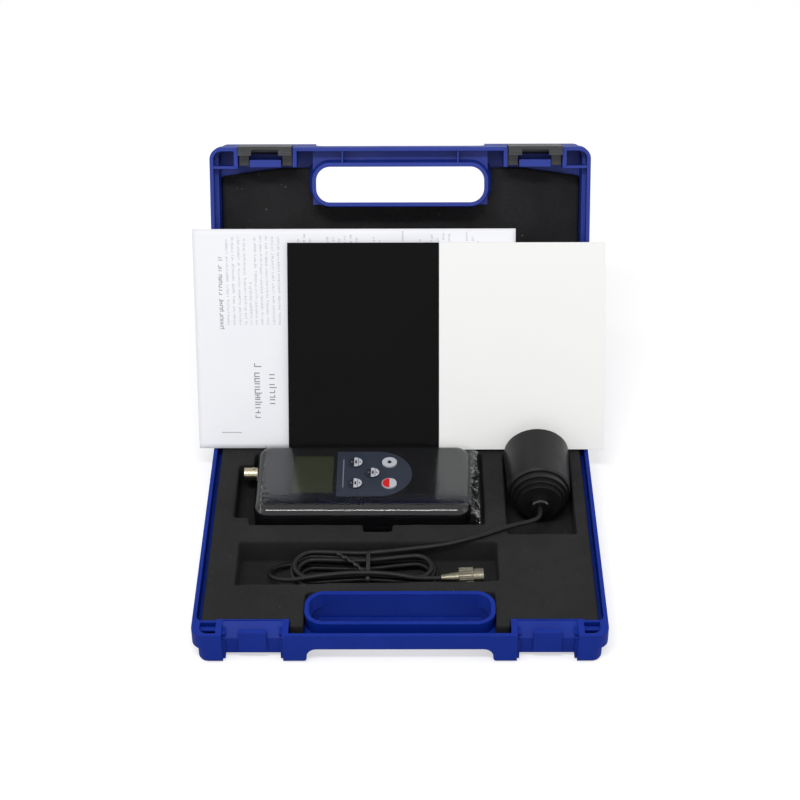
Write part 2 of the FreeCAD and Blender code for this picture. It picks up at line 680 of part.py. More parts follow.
meter_x = size.meter_place_x
meter_y = front + size.meter_place_y
face_y = meter_y + size.face_offset_y
meter_low = size.floor_thickness + size.pad_thickness + size.meter_lift_off
meter_high = meter_low + size.meter_height
meter_left = meter_x - size.meter_length / 2
meter_right = meter_x + size.meter_length / 2
meter_front = meter_y - size.meter_width / 2
meter_back = meter_y + size.meter_width / 2
probe_y = front + size.probe_place_y
hank_y = front + size.hank_place_y
foam_corner_radius = size.body_corner_radius - size.body_wall - size.foam_gap
foam_half = half - size.band_overhang - size.body_wall - size.foam_gap
foam_back = back - size.band_overhang - size.body_wall - size.foam_gap
foam_corner = front + size.recess_reach + size.recess_lip + size.foam_gap


def base_foam_outline():
    """Plan of the foam in the base, which comes forward beside the handle."""
    block_side = size.latch_place - size.recess_half_width - size.recess_wall - size.foam_gap
    hole_side = size.hand_hole_half_width + size.collar_wall + size.foam_gap
    strip = front + size.foam_strip_front
    middle = front + size.hand_hole_back + size.collar_wall + size.foam_gap
    rib_side = size.latch_place + size.recess_half_width + size.recess_wall
    rib_back = front + size.rib_place + size.rib_thickness + size.foam_gap
    right = ((foam_half, foam_back), (foam_half, rib_back), (rib_side, rib_back),
             (rib_side, foam_corner), (block_side, foam_corner), (block_side, strip),
             (hole_side, strip), (hole_side, middle))
    left = [(-across, along) for across, along in reversed(right)]
    return list(right) + left


def make_base_foam():
    """Foam with a pocket for each thing; every pocket goes down to the pad."""
    label = "base_foam"
    body = new_body(label)
    low = size.floor_thickness + size.pad_thickness
    high = size.base_height - size.foam_drop
    extrude(body, "XY_Plane", draw_polygon(base_foam_outline()), low, high)
    fillet_edges(body, foam_corner_radius, upright_back_corner)

    def pocket(points):
        extrude(body, "XY_Plane", draw_polygon(points), low - size.overrun, high + size.overrun, True)

    def rectangle(left, right, near, far):
        pocket(((left, near), (right, near), (right, far), (left, far)))

    left, right = meter_left - size.meter_room_left, meter_right + size.meter_room_right
    near, far = meter_front - size.meter_room_front, meter_back + size.meter_room_back
    rectangle(left, right, near, far)
    rectangle(meter_left - size.socket_reach - size.socket_room, left + size.overrun,
              near + size.socket_step_front, far - size.socket_step_back)
    rectangle(meter_x + size.notch_offset, meter_x + size.notch_offset + size.notch_width,
              near - size.notch_depth, near + size.overrun)
    side = size.probe_radius + size.probe_room_side
    rectangle(size.probe_place_x - side, size.probe_place_x + side,
              probe_y - size.gland_end - size.probe_room_front, probe_y + size.probe_room_back)
    left, right = size.hank_place_x - size.cable_room_left, size.hank_place_x + size.cable_room_right
    pocket(((left, hank_y - size.cable_room_front_left), (right, hank_y - size.cable_room_front_right),
            (right, hank_y + size.cable_room_back), (left, hank_y + size.cable_room_back)))
    return keep(body)


def upright_back_corner(edge):
    """A test for the upright edges at the far corners of a foam sheet."""
    box = edge.BoundBox
    upright = box.ZLength > box.XLength + box.YLength
    return upright and box.YMin > foam_back.value - size.overrun.value


def make_base_foam_pad():
    """A thin sheet under the foam, which the things lie on."""
    pad = solid("base_foam_pad", "XY_Plane", draw_polygon(base_foam_outline()), size.floor_thickness,
                size.floor_thickness + size.pad_thickness)
    fillet_edges(pad, foam_corner_radius, upright_back_corner)
    return keep(pad)


def make_lid_foam():
    """The sheet of foam at the bottom of the lid."""
    low = size.floor_thickness - size.lid_height
    side, slope = front + size.lid_foam_side, front + size.lid_foam_front
    middle = front + size.lid_foam_middle
    right = ((foam_half, foam_back), (foam_half, side), (size.lid_foam_slope, slope),
             (size.lid_foam_half, slope), (size.lid_foam_half, middle))
    left = [(-across, along) for across, along in reversed(right)]
    foam = solid("lid_foam", "XY_Plane", draw_polygon(list(right) + left), low,
                 low + size.lid_foam_thickness)
    fillet_edges(foam, foam_corner_radius, upright_back_corner)
    return keep(foam, lid_pose)


split = meter_low + size.meter_split
board_low = split + size.cell_gap
screen_x = meter_x - size.screen_place
overlay_left = meter_x + size.overlay_place - size.overlay_length / 2
overlay_right = overlay_left + size.overlay_length
overlay_high = meter_high + size.overlay_thickness
BUTTONS = {
    "button_top_left": (-1, 1), "button_top_right": (1, 1), "button_middle": (0, 0),
    "button_bottom_left": (-1, -1), "button_bottom_right": (1, -1),
}
BOSSES = ((-1, -1), (-1, 1), (1, -1), (1, 1))
CELLS = 4


def button_place(share):
    across, along = share
    return (meter_x + size.button_place + size.button_pitch_x * across,
            face_y + size.button_offset_y + size.button_pitch_y * along)


def meter_half(label, low, high, rounded_at):
    """A rounded block as wide as the meter, with one of its flat faces rounded at the edge."""
    body = solid(label, "XY_Plane", draw_rounded(meter_left, meter_right, meter_front, meter_back,
                                                 size.meter_corner_radius), low, high)
    return fillet_edges(body, size.meter_edge_radius, at_height(rounded_at))


def meter_cavity(label, low, high, rounded_at):
    """The room inside the meter, rounded along the same edge as its outside."""
    wall = size.meter_wall
    room = solid(label, "XY_Plane",
                 draw_rounded(meter_left + wall, meter_right - wall, meter_front + wall,
                              meter_back - wall, size.meter_corner_radius - wall), low, high)
    return fillet_edges(room, size.meter_edge_radius - wall, at_height(rounded_at))


def socket_rod(label, start, stop, radius):
    return rod(label, start, stop, face_y + size.socket_offset_y, size.socket_height, radius)


def boss_rods(label, low, high, radius):
    """Upright rods at the four bosses of the meter's housing."""
    return [solid(f"{label}_{i}", "XY_Plane",
                  draw_circle(meter_x + size.boss_place_x * a, meter_y + size.boss_place_y * b, radius),
                  low, high) for i, (a, b) in enumerate(BOSSES)]


def make_meter_front_cover():
    label = "meter_front_cover"
    outer = meter_half(f"{label}_outer", split, meter_high, meter_high)
    ceiling = meter_high - size.meter_wall
    cuts = [meter_cavity(f"{label}_cavity", split - size.overrun, ceiling, ceiling)]
    cuts.append(block(f"{label}_window", screen_x - size.screen_length / 2,
                      screen_x + size.screen_length / 2, face_y - size.screen_width / 2,
                      face_y + size.screen_width / 2, meter_high - size.screen_thickness,
                      meter_high + size.overrun))
    cuts.append(block(f"{label}_screen", screen_x - size.lcd_length / 2, screen_x + size.lcd_length / 2,
                      face_y - size.lcd_width / 2, face_y + size.lcd_width / 2,
                      meter_high - size.meter_wall - size.overrun, meter_high))
    for name, share in BUTTONS.items():
        x, y = button_place(share)
        cuts.append(solid(f"{label}_{name}", "XY_Plane",
                          draw_circle(x, y, size.button_radius + size.button_clearance),
                          meter_high - size.meter_wall - size.overrun, meter_high + size.overrun))
    cuts.append(socket_rod(f"{label}_socket", meter_left - size.overrun,
                           meter_left + size.meter_wall + size.overrun, size.socket_thread_radius))
    cover = less(f"{label}_cover", outer, cuts)
    bosses = boss_rods(f"{label}_boss", board_low + size.board_thickness,
                       meter_high - size.meter_wall / 2, size.boss_radius)
    threads = boss_rods(f"{label}_thread", split, meter_high - size.meter_wall, size.screw_radius)
    return keep(less(label, joined(f"{label}_whole", [cover] + bosses), threads))


def door_span():
    return (meter_right - size.door_end - size.door_length, meter_right - size.door_end,
            meter_y - size.door_width / 2, meter_y + size.door_width / 2)


def make_meter_back_cover():
    label = "meter_back_cover"
    outer = meter_half(f"{label}_outer", meter_low, split, meter_low)
    floor = meter_low + size.meter_back_wall
    cavity = meter_cavity(f"{label}_cavity", floor, split + size.overrun, floor)
    left, right, near, far = door_span()
    cover = less(f"{label}_cover", outer, [cavity])
    bosses = boss_rods(f"{label}_boss", meter_low + size.meter_wall / 2, board_low, size.boss_radius)
    whole = joined(f"{label}_whole", [cover] + bosses)
    cuts = [block(f"{label}_door", left, right + size.door_slide + size.door_clearance, near, far,
                  meter_low - size.overrun, meter_low + size.door_thickness + size.door_clearance),
            block(f"{label}_cells", left + size.cell_end_wall, right - size.cell_end_wall,
                  near + size.cell_side_wall, far - size.cell_side_wall, meter_low,
                  floor + size.overrun),
            socket_rod(f"{label}_socket", meter_left - size.overrun,
                       meter_left + size.meter_wall + size.overrun, size.socket_thread_radius)]
    cuts += boss_rods(f"{label}_bore", meter_low, board_low + size.overrun,
                      size.screw_radius + size.button_clearance)
    cuts += boss_rods(f"{label}_head", meter_low - size.overrun,
                      meter_low + size.screw_recess + size.screw_head_height, size.screw_head_radius
                      + size.button_clearance)
    return keep(less(label, whole, cuts))


def make_battery_door():
    left, right, near, far = door_span()
    gap = size.door_clearance
    return keep(block("battery_door", left + gap, right - gap, near + gap, far - gap, meter_low,
                      meter_low + size.door_thickness))


def make_batteries():
    """Four cells side by side, resting on the door."""
    left, right, near, far = door_span()
    pitch = size.cell_radius * 2 + size.cell_gap
    start = (left + right) / 2 - size.cell_length / 2
    height = meter_low + size.door_thickness + size.cell_gap + size.cell_radius
    cells = [rod(f"battery_{i}", start, start + size.cell_length, meter_y + pitch * (i - (CELLS - 1) / 2),
                 height, size.cell_radius) for i in range(CELLS)]
    return keep(joined("batteries", cells))


def make_battery_contacts():
    """A sprung contact plate at each end of the cells."""
    left, right, near, far = door_span()
    middle = (left + right) / 2
    low = meter_low + size.meter_back_wall
    reach = size.cell_radius * CELLS + size.cell_gap
    plates = []
    for name, sign in (("left", -1), ("right", 1)):
        inner = middle + (size.cell_length / 2 + size.cell_gap) * sign
        outer = inner + size.contact_thickness * sign
        a, b = (inner, outer) if sign > 0 else (outer, inner)
        plates.append(block(f"battery_contact_{name}", a, b, meter_y - reach, meter_y + reach, low,
                            low + size.contact_height))
    return keep(joined("battery_contacts", plates))


def make_circuit_board():
    margin = size.meter_wall + size.board_margin
    board = block("circuit_board_blank", meter_left + margin, meter_right - margin, meter_front + margin,
                  meter_back - margin, board_low, board_low + size.board_thickness)
    holes = boss_rods("circuit_board_hole", board_low - size.overrun,
                      board_low + size.board_thickness + size.overrun,
                      size.screw_radius + size.button_clearance)
    return keep(less("circuit_board", board, holes))


def make_housing_screws():
    """Four screws from the back cover through the board into the front cover's bosses."""
    head_low = meter_low + size.screw_recess
    shanks = boss_rods("housing_screw_shank", head_low + size.screw_head_height,
                       meter_high - size.meter_wall - size.overrun, size.screw_radius)
    heads = boss_rods("housing_screw_head", head_low, head_low + size.screw_head_height,
                      size.screw_head_radius)
    return keep(joined("housing_screws", shanks + heads))


def make_display_window():
    return keep(block("display_window", screen_x - size.screen_length / 2,
                      screen_x + size.screen_length / 2, face_y - size.screen_width / 2,
                      face_y + size.screen_width / 2, meter_high - size.screen_thickness, meter_high))


def make_lcd_module():
    """The display module, which stands on the board close under its window."""
    inset = size.button_clearance
    low = board_low + size.board_thickness
    high = meter_high - size.screen_thickness
    return keep(block("lcd_module", screen_x - size.lcd_length / 2 + inset,
                      screen_x + size.lcd_length / 2 - inset, face_y - size.lcd_width / 2 + inset,
                      face_y + size.lcd_width / 2 - inset, low, high))


def draw_overlay(sketch):
    """A plate that is square at the left and round at the right."""
    r = size.overlay_radius.value
    x, y, left = (overlay_right.value - r), face_y.value, overlay_left.value
    arc_of = Part.Circle(FreeCAD.Vector(x, y, 0), UP, r)
    sketch.addGeometry(Part.ArcOfCircle(arc_of, -math.pi / 2, math.pi / 2))
    sketch.addGeometry(Part.LineSegment(FreeCAD.Vector(x, y + r, 0), FreeCAD.Vector(left, y + r, 0)))
    sketch.addGeometry(Part.LineSegment(FreeCAD.Vector(left, y + r, 0), FreeCAD.Vector(left, y - r, 0)))
    sketch.addGeometry(Part.LineSegment(FreeCAD.Vector(left, y - r, 0), FreeCAD.Vector(x, y - r, 0)))
    sketch.addConstraint(Sketcher.Constraint("Tangent", 0, 2, 1, 1))
    sketch.addConstraint(Sketcher.Constraint("Coincident", 1, 2, 2, 1))
    sketch.addConstraint(Sketcher.Constraint("Coincident", 2, 2, 3, 1))
    sketch.addConstraint(Sketcher.Constraint("Tangent", 3, 2, 0, 1))
    sketch.addConstraint(Sketcher.Constraint("Vertical", 2))
    bind_datum(sketch, Sketcher.Constraint("Radius", 0, r), size.overlay_radius)
    place_point(sketch, 0, 3, overlay_right - size.overlay_radius, face_y)
    bind_datum(sketch, Sketcher.Constraint("DistanceX", -1, 1, 2, 1, left), overlay_left)


def make_keypad_overlay():
    body = solid("keypad_overlay", "XY_Plane", draw_overlay, meter_high, overlay_high)
    for share in BUTTONS.values():
        x, y = button_place(share)
        extrude(body, "XY_Plane", draw_circle(x, y, size.button_radius + size.button_clearance),
                meter_high - size.overrun, overlay_high + size.overrun, True)
    return keep(body)


def make_button(label, share):
    """A round key with a flange that stops it under the cover."""
    x, y = button_place(share)
    under = meter_high - size.meter_wall
    cap = solid(f"{label}_cap", "XY_Plane", draw_circle(x, y, size.button_radius),
                under - size.button_flange_height, overlay_high + size.button_rise)
    flange = solid(f"{label}_flange", "XY_Plane",
                   draw_circle(x, y, size.button_radius + size.button_flange),
                   under - size.button_flange_height, under)
    return keep(joined(label, [cap, flange]))


def make_socket():
    """The coaxial socket at the meter's top end: body with bayonet lugs, contact and nut."""
    tip = meter_left - size.socket_reach
    inner = meter_left + size.socket_inside
    barrel = socket_rod("socket_barrel", tip, meter_left, size.socket_radius)
    thread = socket_rod("socket_thread", meter_left, inner, size.socket_thread_radius)
    lugs = solid("socket_lugs", "XY_Plane",
                 draw_circle(tip + size.lug_place, face_y + size.socket_offset_y, size.lug_radius),
                 size.socket_height - size.lug_reach, size.socket_height + size.lug_reach)
    bore = socket_rod("socket_bore_cut", tip - size.overrun, meter_left, size.socket_bore)
    keep(less("socket_body", joined("socket_whole", [barrel, thread, lugs]), [bore]))
    sleeve = socket_rod("socket_sleeve", meter_left - size.socket_sleeve_reach, meter_left,
                        size.socket_bore)
    pin = socket_rod("socket_pin", tip + size.overrun, meter_left, size.socket_pin_radius)
    keep(joined("socket_contact", [sleeve, pin]))
    nut_left = meter_left + size.meter_wall
    nut = socket_rod("socket_nut_blank", nut_left, nut_left + size.socket_nut_thickness,
                     size.socket_nut_radius)
    hole = socket_rod("socket_nut_hole", nut_left - size.overrun, inner, size.socket_thread_radius
                      + size.pin_clearance)
    keep(less("socket_nut", nut, [hole]))


def make_wrapping_film():
    """A thin clear sleeve around the meter, open at both ends."""
    gap = size.film_gap
    wall = gap + size.film_thickness
    left = meter_left + size.film_left_overlap
    right = meter_right + size.film_right_reach
    middle = (meter_low + meter_high) / 2

    def sleeve(label, grown, start, stop):
        corner = size.meter_edge_radius + grown
        return solid(label, "YZ_Plane",
                     draw_rounded(meter_front - grown, meter_back + grown,
                                  meter_low - grown, overlay_high + size.button_rise + grown, corner),
                     start, stop)

    outer = sleeve("wrapping_film_outer", wall, left, right)
    inner = sleeve("wrapping_film_inner", gap, left - size.overrun, right + size.overrun)
    return keep(less("wrapping_film", outer, [inner]))


probe_pose = (moved(size.probe_place_x, probe_y, size.probe_axis_height)
              * turned_by(RIGHT, size.probe_tilt.value))


def make_probe():
    """The probe: a tapering housing, a stepped rear cap, a cable gland and the optics inside."""
    rear = size.probe_length
    lip = size.probe_edge
    wall = size.probe_wall
    keep(turned("probe_housing", (
        (size.aperture_radius + size.aperture_ring_width, ZERO), (size.probe_radius - lip, ZERO),
        (size.probe_radius, -lip), (size.probe_rear_radius + lip, -rear + lip * 2),
        (size.probe_rear_radius, -rear), (size.first_step_radius - wall, -rear),
        (size.first_step_radius - wall, -rear + wall), (size.probe_rear_radius - wall, -rear + wall),
        (size.probe_radius - wall, -wall),
        (size.aperture_radius + size.aperture_ring_width, -wall))), probe_pose)
    keep(turned("probe_rear_cap", (
        (size.gland_radius - wall, -rear), (size.first_step_radius, -rear),
        (size.first_step_radius, -size.first_step_end), (size.second_step_radius, -size.first_step_end),
        (size.second_step_radius, -size.second_step_end),
        (size.third_step_radius, -size.second_step_end),
        (size.third_step_radius, -size.third_step_end),
        (size.gland_radius - wall, -size.third_step_end))), probe_pose)
    bore = cable_radius + size.gland_bore_gap
    keep(turned("probe_gland", (
        (bore, -size.third_step_end), (size.gland_radius, -size.third_step_end),
        (size.gland_radius, -size.gland_end + lip), (size.gland_radius - lip, -size.gland_end),
        (bore, -size.gland_end))), probe_pose)
    ring_out = size.aperture_radius + size.aperture_ring_width
    keep(turned("probe_aperture_ring", (
        (size.aperture_radius - lip, ZERO), (ring_out, ZERO), (ring_out, -size.aperture_ring_thickness),
        (size.aperture_radius, -size.aperture_ring_thickness), (size.aperture_radius, -lip),
        (size.aperture_radius - lip, -lip))), probe_pose)
    keep(turned("probe_window", (
        (ZERO, -lip), (size.aperture_radius, -lip), (size.aperture_radius, -lip
                                                     - size.probe_window_thickness),
        (ZERO, -lip - size.probe_window_thickness))), probe_pose)
    slope = (size.probe_radius - size.probe_rear_radius) / size.probe_length
    board_radius = (size.probe_radius - wall - slope * (size.probe_board_place
                                                        + size.probe_board_thickness)
                    - size.probe_board_gap)
    board_back = size.probe_board_place + size.probe_board_thickness
    keep(turned("probe_board", (
        (ZERO, -size.probe_board_place), (board_radius, -size.probe_board_place),
        (board_radius, -board_back), (ZERO, -board_back))), probe_pose)
    lamps = []
    for i in range(int(size.lamp_count.value)):
        angle = 2 * math.pi * i / size.lamp_count.value
        lamps.append(solid(f"probe_lamp_{i}", "XZ_Plane",
                           draw_circle(size.lamp_circle * math.cos(angle),
                                       size.lamp_circle * math.sin(angle), size.lamp_radius),
                           -size.probe_board_place, -size.probe_board_place + size.lamp_length))
    keep(joined("probe_lamps", lamps), probe_pose)


# the cable's free stretches, as points in millimetres that its smooth line passes near
LEAD_ROUTE = (
    (104.3, 26, 26.62), (104.3, 16, 26.18), (101.2, 9.8, 26.2), (95.4, 6.2, 26.8), (88.1, 3.3, 27.2),
    (79.2, -0.1, 27.4), (68.5, -5.2, 27.4), (57.5, -10.6, 27.3), (46.5, -14.3, 27.1),
    (35.8, -15.6, 24.6), (25.2, -15.2, 22), (14.3, -15.2, 22),
)
TAIL_ROUTE = (
    (-66.3, -17.9, 6.6), (-75.0, -17.9, 6.6), (-86.5, -20.2, 7.4), (-94.6, -27.4, 9.8),
    (-95.6, -37.4, 13.2), (-88.6, -45.2, 16.8), (-77.6, -48.7, 19.6), (-64.0, -48.2, 22.4),
    (-49.0, -46.9, 23.7), (-33.0, -45.5, 24.1), (-15.0, -45.8, 24.0), (-2.0, -47.2, 23.5),
    (9.0, -49.3, 22.6), (19.6, -48.1, 20.5), (29.4, -47.5, 20.5),
)
ROUND_SHARE = 0.45
SAMPLE_STEP = 2
SAMPLES_BESIDE = 12


def tube(wire, start, direction):
    """Sweeps the cable's round section along a wire."""
    circle = Part.Wire([Part.makeCircle(cable_radius.value, start, direction)])
    return wire.makePipeShell([circle], True, False)


def route_wire(label, route):
    """Straight runs joined by tangent arcs, each as large as its two runs allow."""
    points = [FreeCAD.Vector(*p) for p in route]
    edges, radii = [], []
    at = points[0]
    for before, corner, after in zip(points, points[1:], points[2:]):
        way_in, way_out = (corner - before).normalize(), (after - corner).normalize()
        turn = way_in.getAngle(way_out)
        run = ROUND_SHARE * min((corner - before).Length, (after - corner).Length)
        radius = run / math.tan(turn / 2)
        first, last = corner - way_in * run, corner + way_out * run
        inward = (way_out - way_in).normalize()
        middle = corner + inward * (radius / math.cos(turn / 2) - radius)
        if (first - at).Length > NEAR:
            edges.append(Part.LineSegment(at, first).toShape())
        edges.append(Part.Arc(first, middle, last).toShape())
        radii.append(round(radius, 1))
        at = last
    edges.append(Part.LineSegment(at, points[-1]).toShape())
    print(label, "radii", radii)
    return Part.Wire(edges)


def arc_from(start, heading, end):
    """The arc from a point, leaving along a heading, to another point; and its heading there."""
    chord = end - start
    along = FreeCAD.Vector(chord).normalize()
    side = heading - along * heading.dot(along)
    half_angle = heading.getAngle(along)
    radius = chord.Length / (2 * math.sin(half_angle))
    middle = start + chord / 2 + side.normalize() * (radius * (1 - math.cos(half_angle)))
    leaving = along * (2 * heading.dot(along)) - heading
    return Part.Arc(start, middle, end).toShape(), leaving.normalize()


def hank_runs():
    """Side, layer heights and distance from the middle of each run, from the top layer down."""
    step = size.hank_side_step.value / 2
    layers = int(size.hank_layers.value)
    runs = []
    for layer in range(layers):
        top = size.hank_top.value - size.hank_layer_step.value * layer
        inward = layer % 2 == 0
        near, far = (0, 1) if inward else (1, 0)
        rise = size.hank_way_in_rise.value if layer == 0 else 0
        runs.append((size.hank_radius.value - step * near, top + rise, top))
        runs.append((size.hank_radius.value - step * far, top, top))
        if layer < layers - 1:
            climb = 2 if inward else -1
            runs.append((size.hank_radius.value - step * climb, top,
                         top - size.hank_layer_step.value))
    return runs


def hank_wire():
    """The coiled stretch: long loops drawn in at the waist, in layers, as one unbroken line."""
    cx, cy = size.hank_place_x.value, hank_y.value
    reach, waist = size.hank_half_run.value, size.hank_waist.value
    edges = []
    heading = FreeCAD.Vector(-1, 0, 0)
    runs = hank_runs()
    first = FreeCAD.Vector(cx + reach, cy + runs[0][0] + size.hank_way_in.value, runs[0][1])
    lead_in = first - heading * size.cable_diameter.value
    edges.append(Part.LineSegment(lead_in, first).toShape())
    at = first
    for i, (distance, start_z, end_z) in enumerate(runs):
        side = 1 if i % 2 == 0 else -1
        if i > 0:
            begin = FreeCAD.Vector(at.x, cy + distance * side, start_z)
            arc, heading = arc_from(at, heading, begin)
            edges.append(arc)
            at = begin
        going = heading.x / abs(heading.x)
        middle_z = end_z if i == 0 else (start_z + end_z) / 2
        middle = FreeCAD.Vector(cx, cy + (distance - waist) * side, middle_z)
        finish = FreeCAD.Vector(cx + reach * going, cy + distance * side, end_z)
        for target in (at + (middle - at) / 2, middle, middle + (finish - middle) / 2, finish):
            arc, heading = arc_from(at, heading, target)
            edges.append(arc)
            at = target
    last = at + heading * size.cable_diameter.value
    edges.append(Part.LineSegment(at, last).toShape())
    return Part.Wire(edges), lead_in


def least_gap(wire, skip):
    """The least distance of a wound line to itself, less its diameter, measured on points."""
    points = wire.discretize(Distance=SAMPLE_STEP)
    best = None
    for i, p in enumerate(points):
        for q in points[i + skip:]:
            distance = (p - q).Length
            if best is None or distance < best:
                best = distance
    return best - size.cable_diameter.value


def report_tube(label, shape, wire):
    section = math.pi * cable_radius.value ** 2
    share = shape.Volume / (section * wire.Length)
    print(f"{label}: length {wire.Length:.1f} mm, volume over section times length {share:.4f}")


def make_cable():
    lead = route_wire("cable_lead", LEAD_ROUTE)
    start = FreeCAD.Vector(*LEAD_ROUTE[0])
    shape = tube(lead, start, FreeCAD.Vector(*LEAD_ROUTE[1]) - start)
    report_tube("cable_lead", shape, lead)
    keep(given_shape("cable_lead", shape))
    hank, start = hank_wire()
    shape = tube(hank, start, FreeCAD.Vector(-1, 0, 0))
    report_tube("cable_hank", shape, hank)
    print(f"cable_hank: least gap to itself {least_gap(hank, SAMPLES_BESIDE):.2f} mm")
    keep(given_shape("cable_hank", shape))
    tail = route_wire("cable_tail", TAIL_ROUTE)
    start = FreeCAD.Vector(*TAIL_ROUTE[0])
    shape = tube(tail, start, FreeCAD.Vector(*TAIL_ROUTE[1]) - start)
    report_tube("cable_tail", shape, tail)
    keep(given_shape("cable_tail", shape))


def make_twist_tie():
    """A band around the hank's waist, with its two ends twisted together."""
    grown = cable_radius + size.tie_gap
    x = size.hank_place_x + size.tie_place
    outer_run = size.hank_radius + size.hank_side_step / 2
    near = hank_y - outer_run + size.hank_waist - grown
    far = hank_y + size.hank_radius - size.hank_waist + grown
    low = size.hank_top - size.hank_layer_step * (size.hank_layers - 1) - grown
    high = size.hank_top + grown
    wall = size.tie_thickness
    outer = solid("twist_tie_outer", "YZ_Plane",
                  draw_rounded(near - wall, far + wall, low - wall, high + wall,
                               size.tie_corner_radius + wall),
                  x - size.tie_width / 2, x + size.tie_width / 2)
    inner = solid("twist_tie_inner", "YZ_Plane",
                  draw_rounded(near, far, low, high, size.tie_corner_radius),
                  x - size.tie_width, x + size.tie_width)
    return keep(less("twist_tie", outer, [inner]))


plug_pose = (FreeCAD.Placement(FreeCAD.Vector(*TAIL_ROUTE[-1]), FreeCAD.Rotation())
             * turned_by(UP, size.plug_yaw.value - QUARTER_TURN))


def make_plug():
    """The bayonet plug, turned about its own axis, which is Y in its own frame."""
    boot_end = size.boot_length
    ring_end = boot_end + size.ring_length
    barrel_end = ring_end + size.barrel_length
    keep(turned("plug_boot", (
        (ZERO, ZERO), (size.boot_tip_radius, ZERO), (size.boot_radius, boot_end), (ZERO, boot_end))),
        plug_pose)
    inner = size.barrel_radius - size.barrel_wall
    neck = size.plug_neck_radius
    keep(turned("plug_body", (
        (ZERO, boot_end), (neck + size.plug_flange, boot_end),
        (neck + size.plug_flange, boot_end + size.plug_flange), (neck, boot_end + size.plug_flange),
        (neck, ring_end + size.ring_bore_gap), (size.barrel_radius, ring_end + size.ring_bore_gap),
        (size.barrel_radius, barrel_end), (inner, barrel_end), (inner, ring_end + size.plug_core_reach),
        (ZERO, ring_end + size.plug_core_reach))), plug_pose)
    ring = turned("plug_ring_blank", (
        (neck + size.ring_bore_gap, boot_end + size.plug_flange + size.ring_bore_gap),
        (size.ring_radius, boot_end + size.plug_flange + size.ring_bore_gap),
        (size.ring_radius, ring_end), (neck + size.ring_bore_gap, ring_end)))
    cuts = []
    for i in range(int(size.ring_rib_count.value)):
        angle = 2 * math.pi * i / size.ring_rib_count.value
        cuts.append(solid(f"plug_ring_groove_{i}", "XZ_Plane",
                          draw_circle(size.ring_radius * math.cos(angle),
                                      size.ring_radius * math.sin(angle), size.ring_rib_radius),
                          boot_end, ring_end + size.overrun))
    keep(less("plug_ring", ring, cuts), plug_pose)
    keep(turned("plug_contact", (
        (ZERO, ring_end + size.plug_core_reach), (size.plug_core_radius, ring_end
                                                  + size.plug_core_reach),
        (size.plug_core_radius, ring_end + size.plug_core_reach * 2),
        (size.plug_pin_radius, ring_end + size.plug_core_reach * 2),
        (size.plug_pin_radius, ring_end + size.plug_core_reach + size.plug_pin_reach),
        (ZERO, ring_end + size.plug_core_reach + size.plug_pin_reach))), plug_pose)


# plates and manual are drawn flat, with their feet at y = 0, and lean back together
lean_pose = (moved(ZERO, size.plate_foot_y, size.plate_foot_height)
             * turned_by(RIGHT, QUARTER_TURN - size.plate_lean.value))


def make_plates():
    keep(block("black_plate", size.black_left, size.plate_seam - size.plate_seam_gap / 2, ZERO,
               size.plate_height, ZERO, size.plate_thickness), lean_pose)
    keep(block("white_plate", size.plate_seam + size.plate_seam_gap / 2, size.white_right, ZERO,
               size.plate_height, ZERO, size.plate_thickness), lean_pose)


def make_manual():
    high = -size.manual_gap
    low = high - size.manual_thickness
    pages = block("manual", size.manual_left, size.manual_left + size.manual_width, size.manual_foot,
                  size.manual_height, low, high)
    keep(pages, lean_pose)
    left = size.manual_left + size.staple_place_x
    wire = block("manual_staple", left, left + size.staple_length, size.staple_place_y,
                 size.staple_place_y + size.staple_wire, high, high + size.manual_gap / 2)
    keep(wire, lean_pose)


def write_all():
    """Checks every object and writes each sub-part to its file."""
    doc.recompute()
    for thing in doc.Objects:
        if "Invalid" in thing.State or "Error" in thing.State:
            raise ValueError(f"{thing.Label} did not recompute")
    os.makedirs("parts", exist_ok=True)
    for node in NODES:
        if node.Shape.isNull() or not node.Shape.isValid() or node.Shape.Volume <= 0:
            raise ValueError(f"{node.Label} has no valid solid")
        node.Shape.exportStep(os.path.join("parts", f"{node.Label}.step"))
        box = node.Shape.BoundBox
        print(f"{node.Label:22s} solids {len(node.Shape.Solids):2d} volume {node.Shape.Volume:9.0f} "
              f"x {box.XMin:7.1f} {box.XMax:7.1f} y {box.YMin:7.1f} {box.YMax:7.1f} "
              f"z {box.ZMin:7.1f} {box.ZMax:7.1f}")


make_base_shell()
make_lid_shell()
make_hinge_pins()
make_latch("latch_left", 1)
make_latch("latch_right", -1)
make_latch_pins()
make_base_foam()
make_base_foam_pad()
make_lid_foam()
make_meter_front_cover()
make_meter_back_cover()
make_battery_door()
make_batteries()
make_battery_contacts()
make_circuit_board()
make_housing_screws()
make_display_window()
make_lcd_module()
make_keypad_overlay()
for button, share in BUTTONS.items():
    make_button(button, share)
make_socket()
make_wrapping_film()
make_probe()
make_cable()
make_twist_tie()
make_plug()
make_plates()
make_manual()
write_all()
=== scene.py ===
import math
import random

import bmesh
import bpy
from mathutils import Matrix, Vector, noise

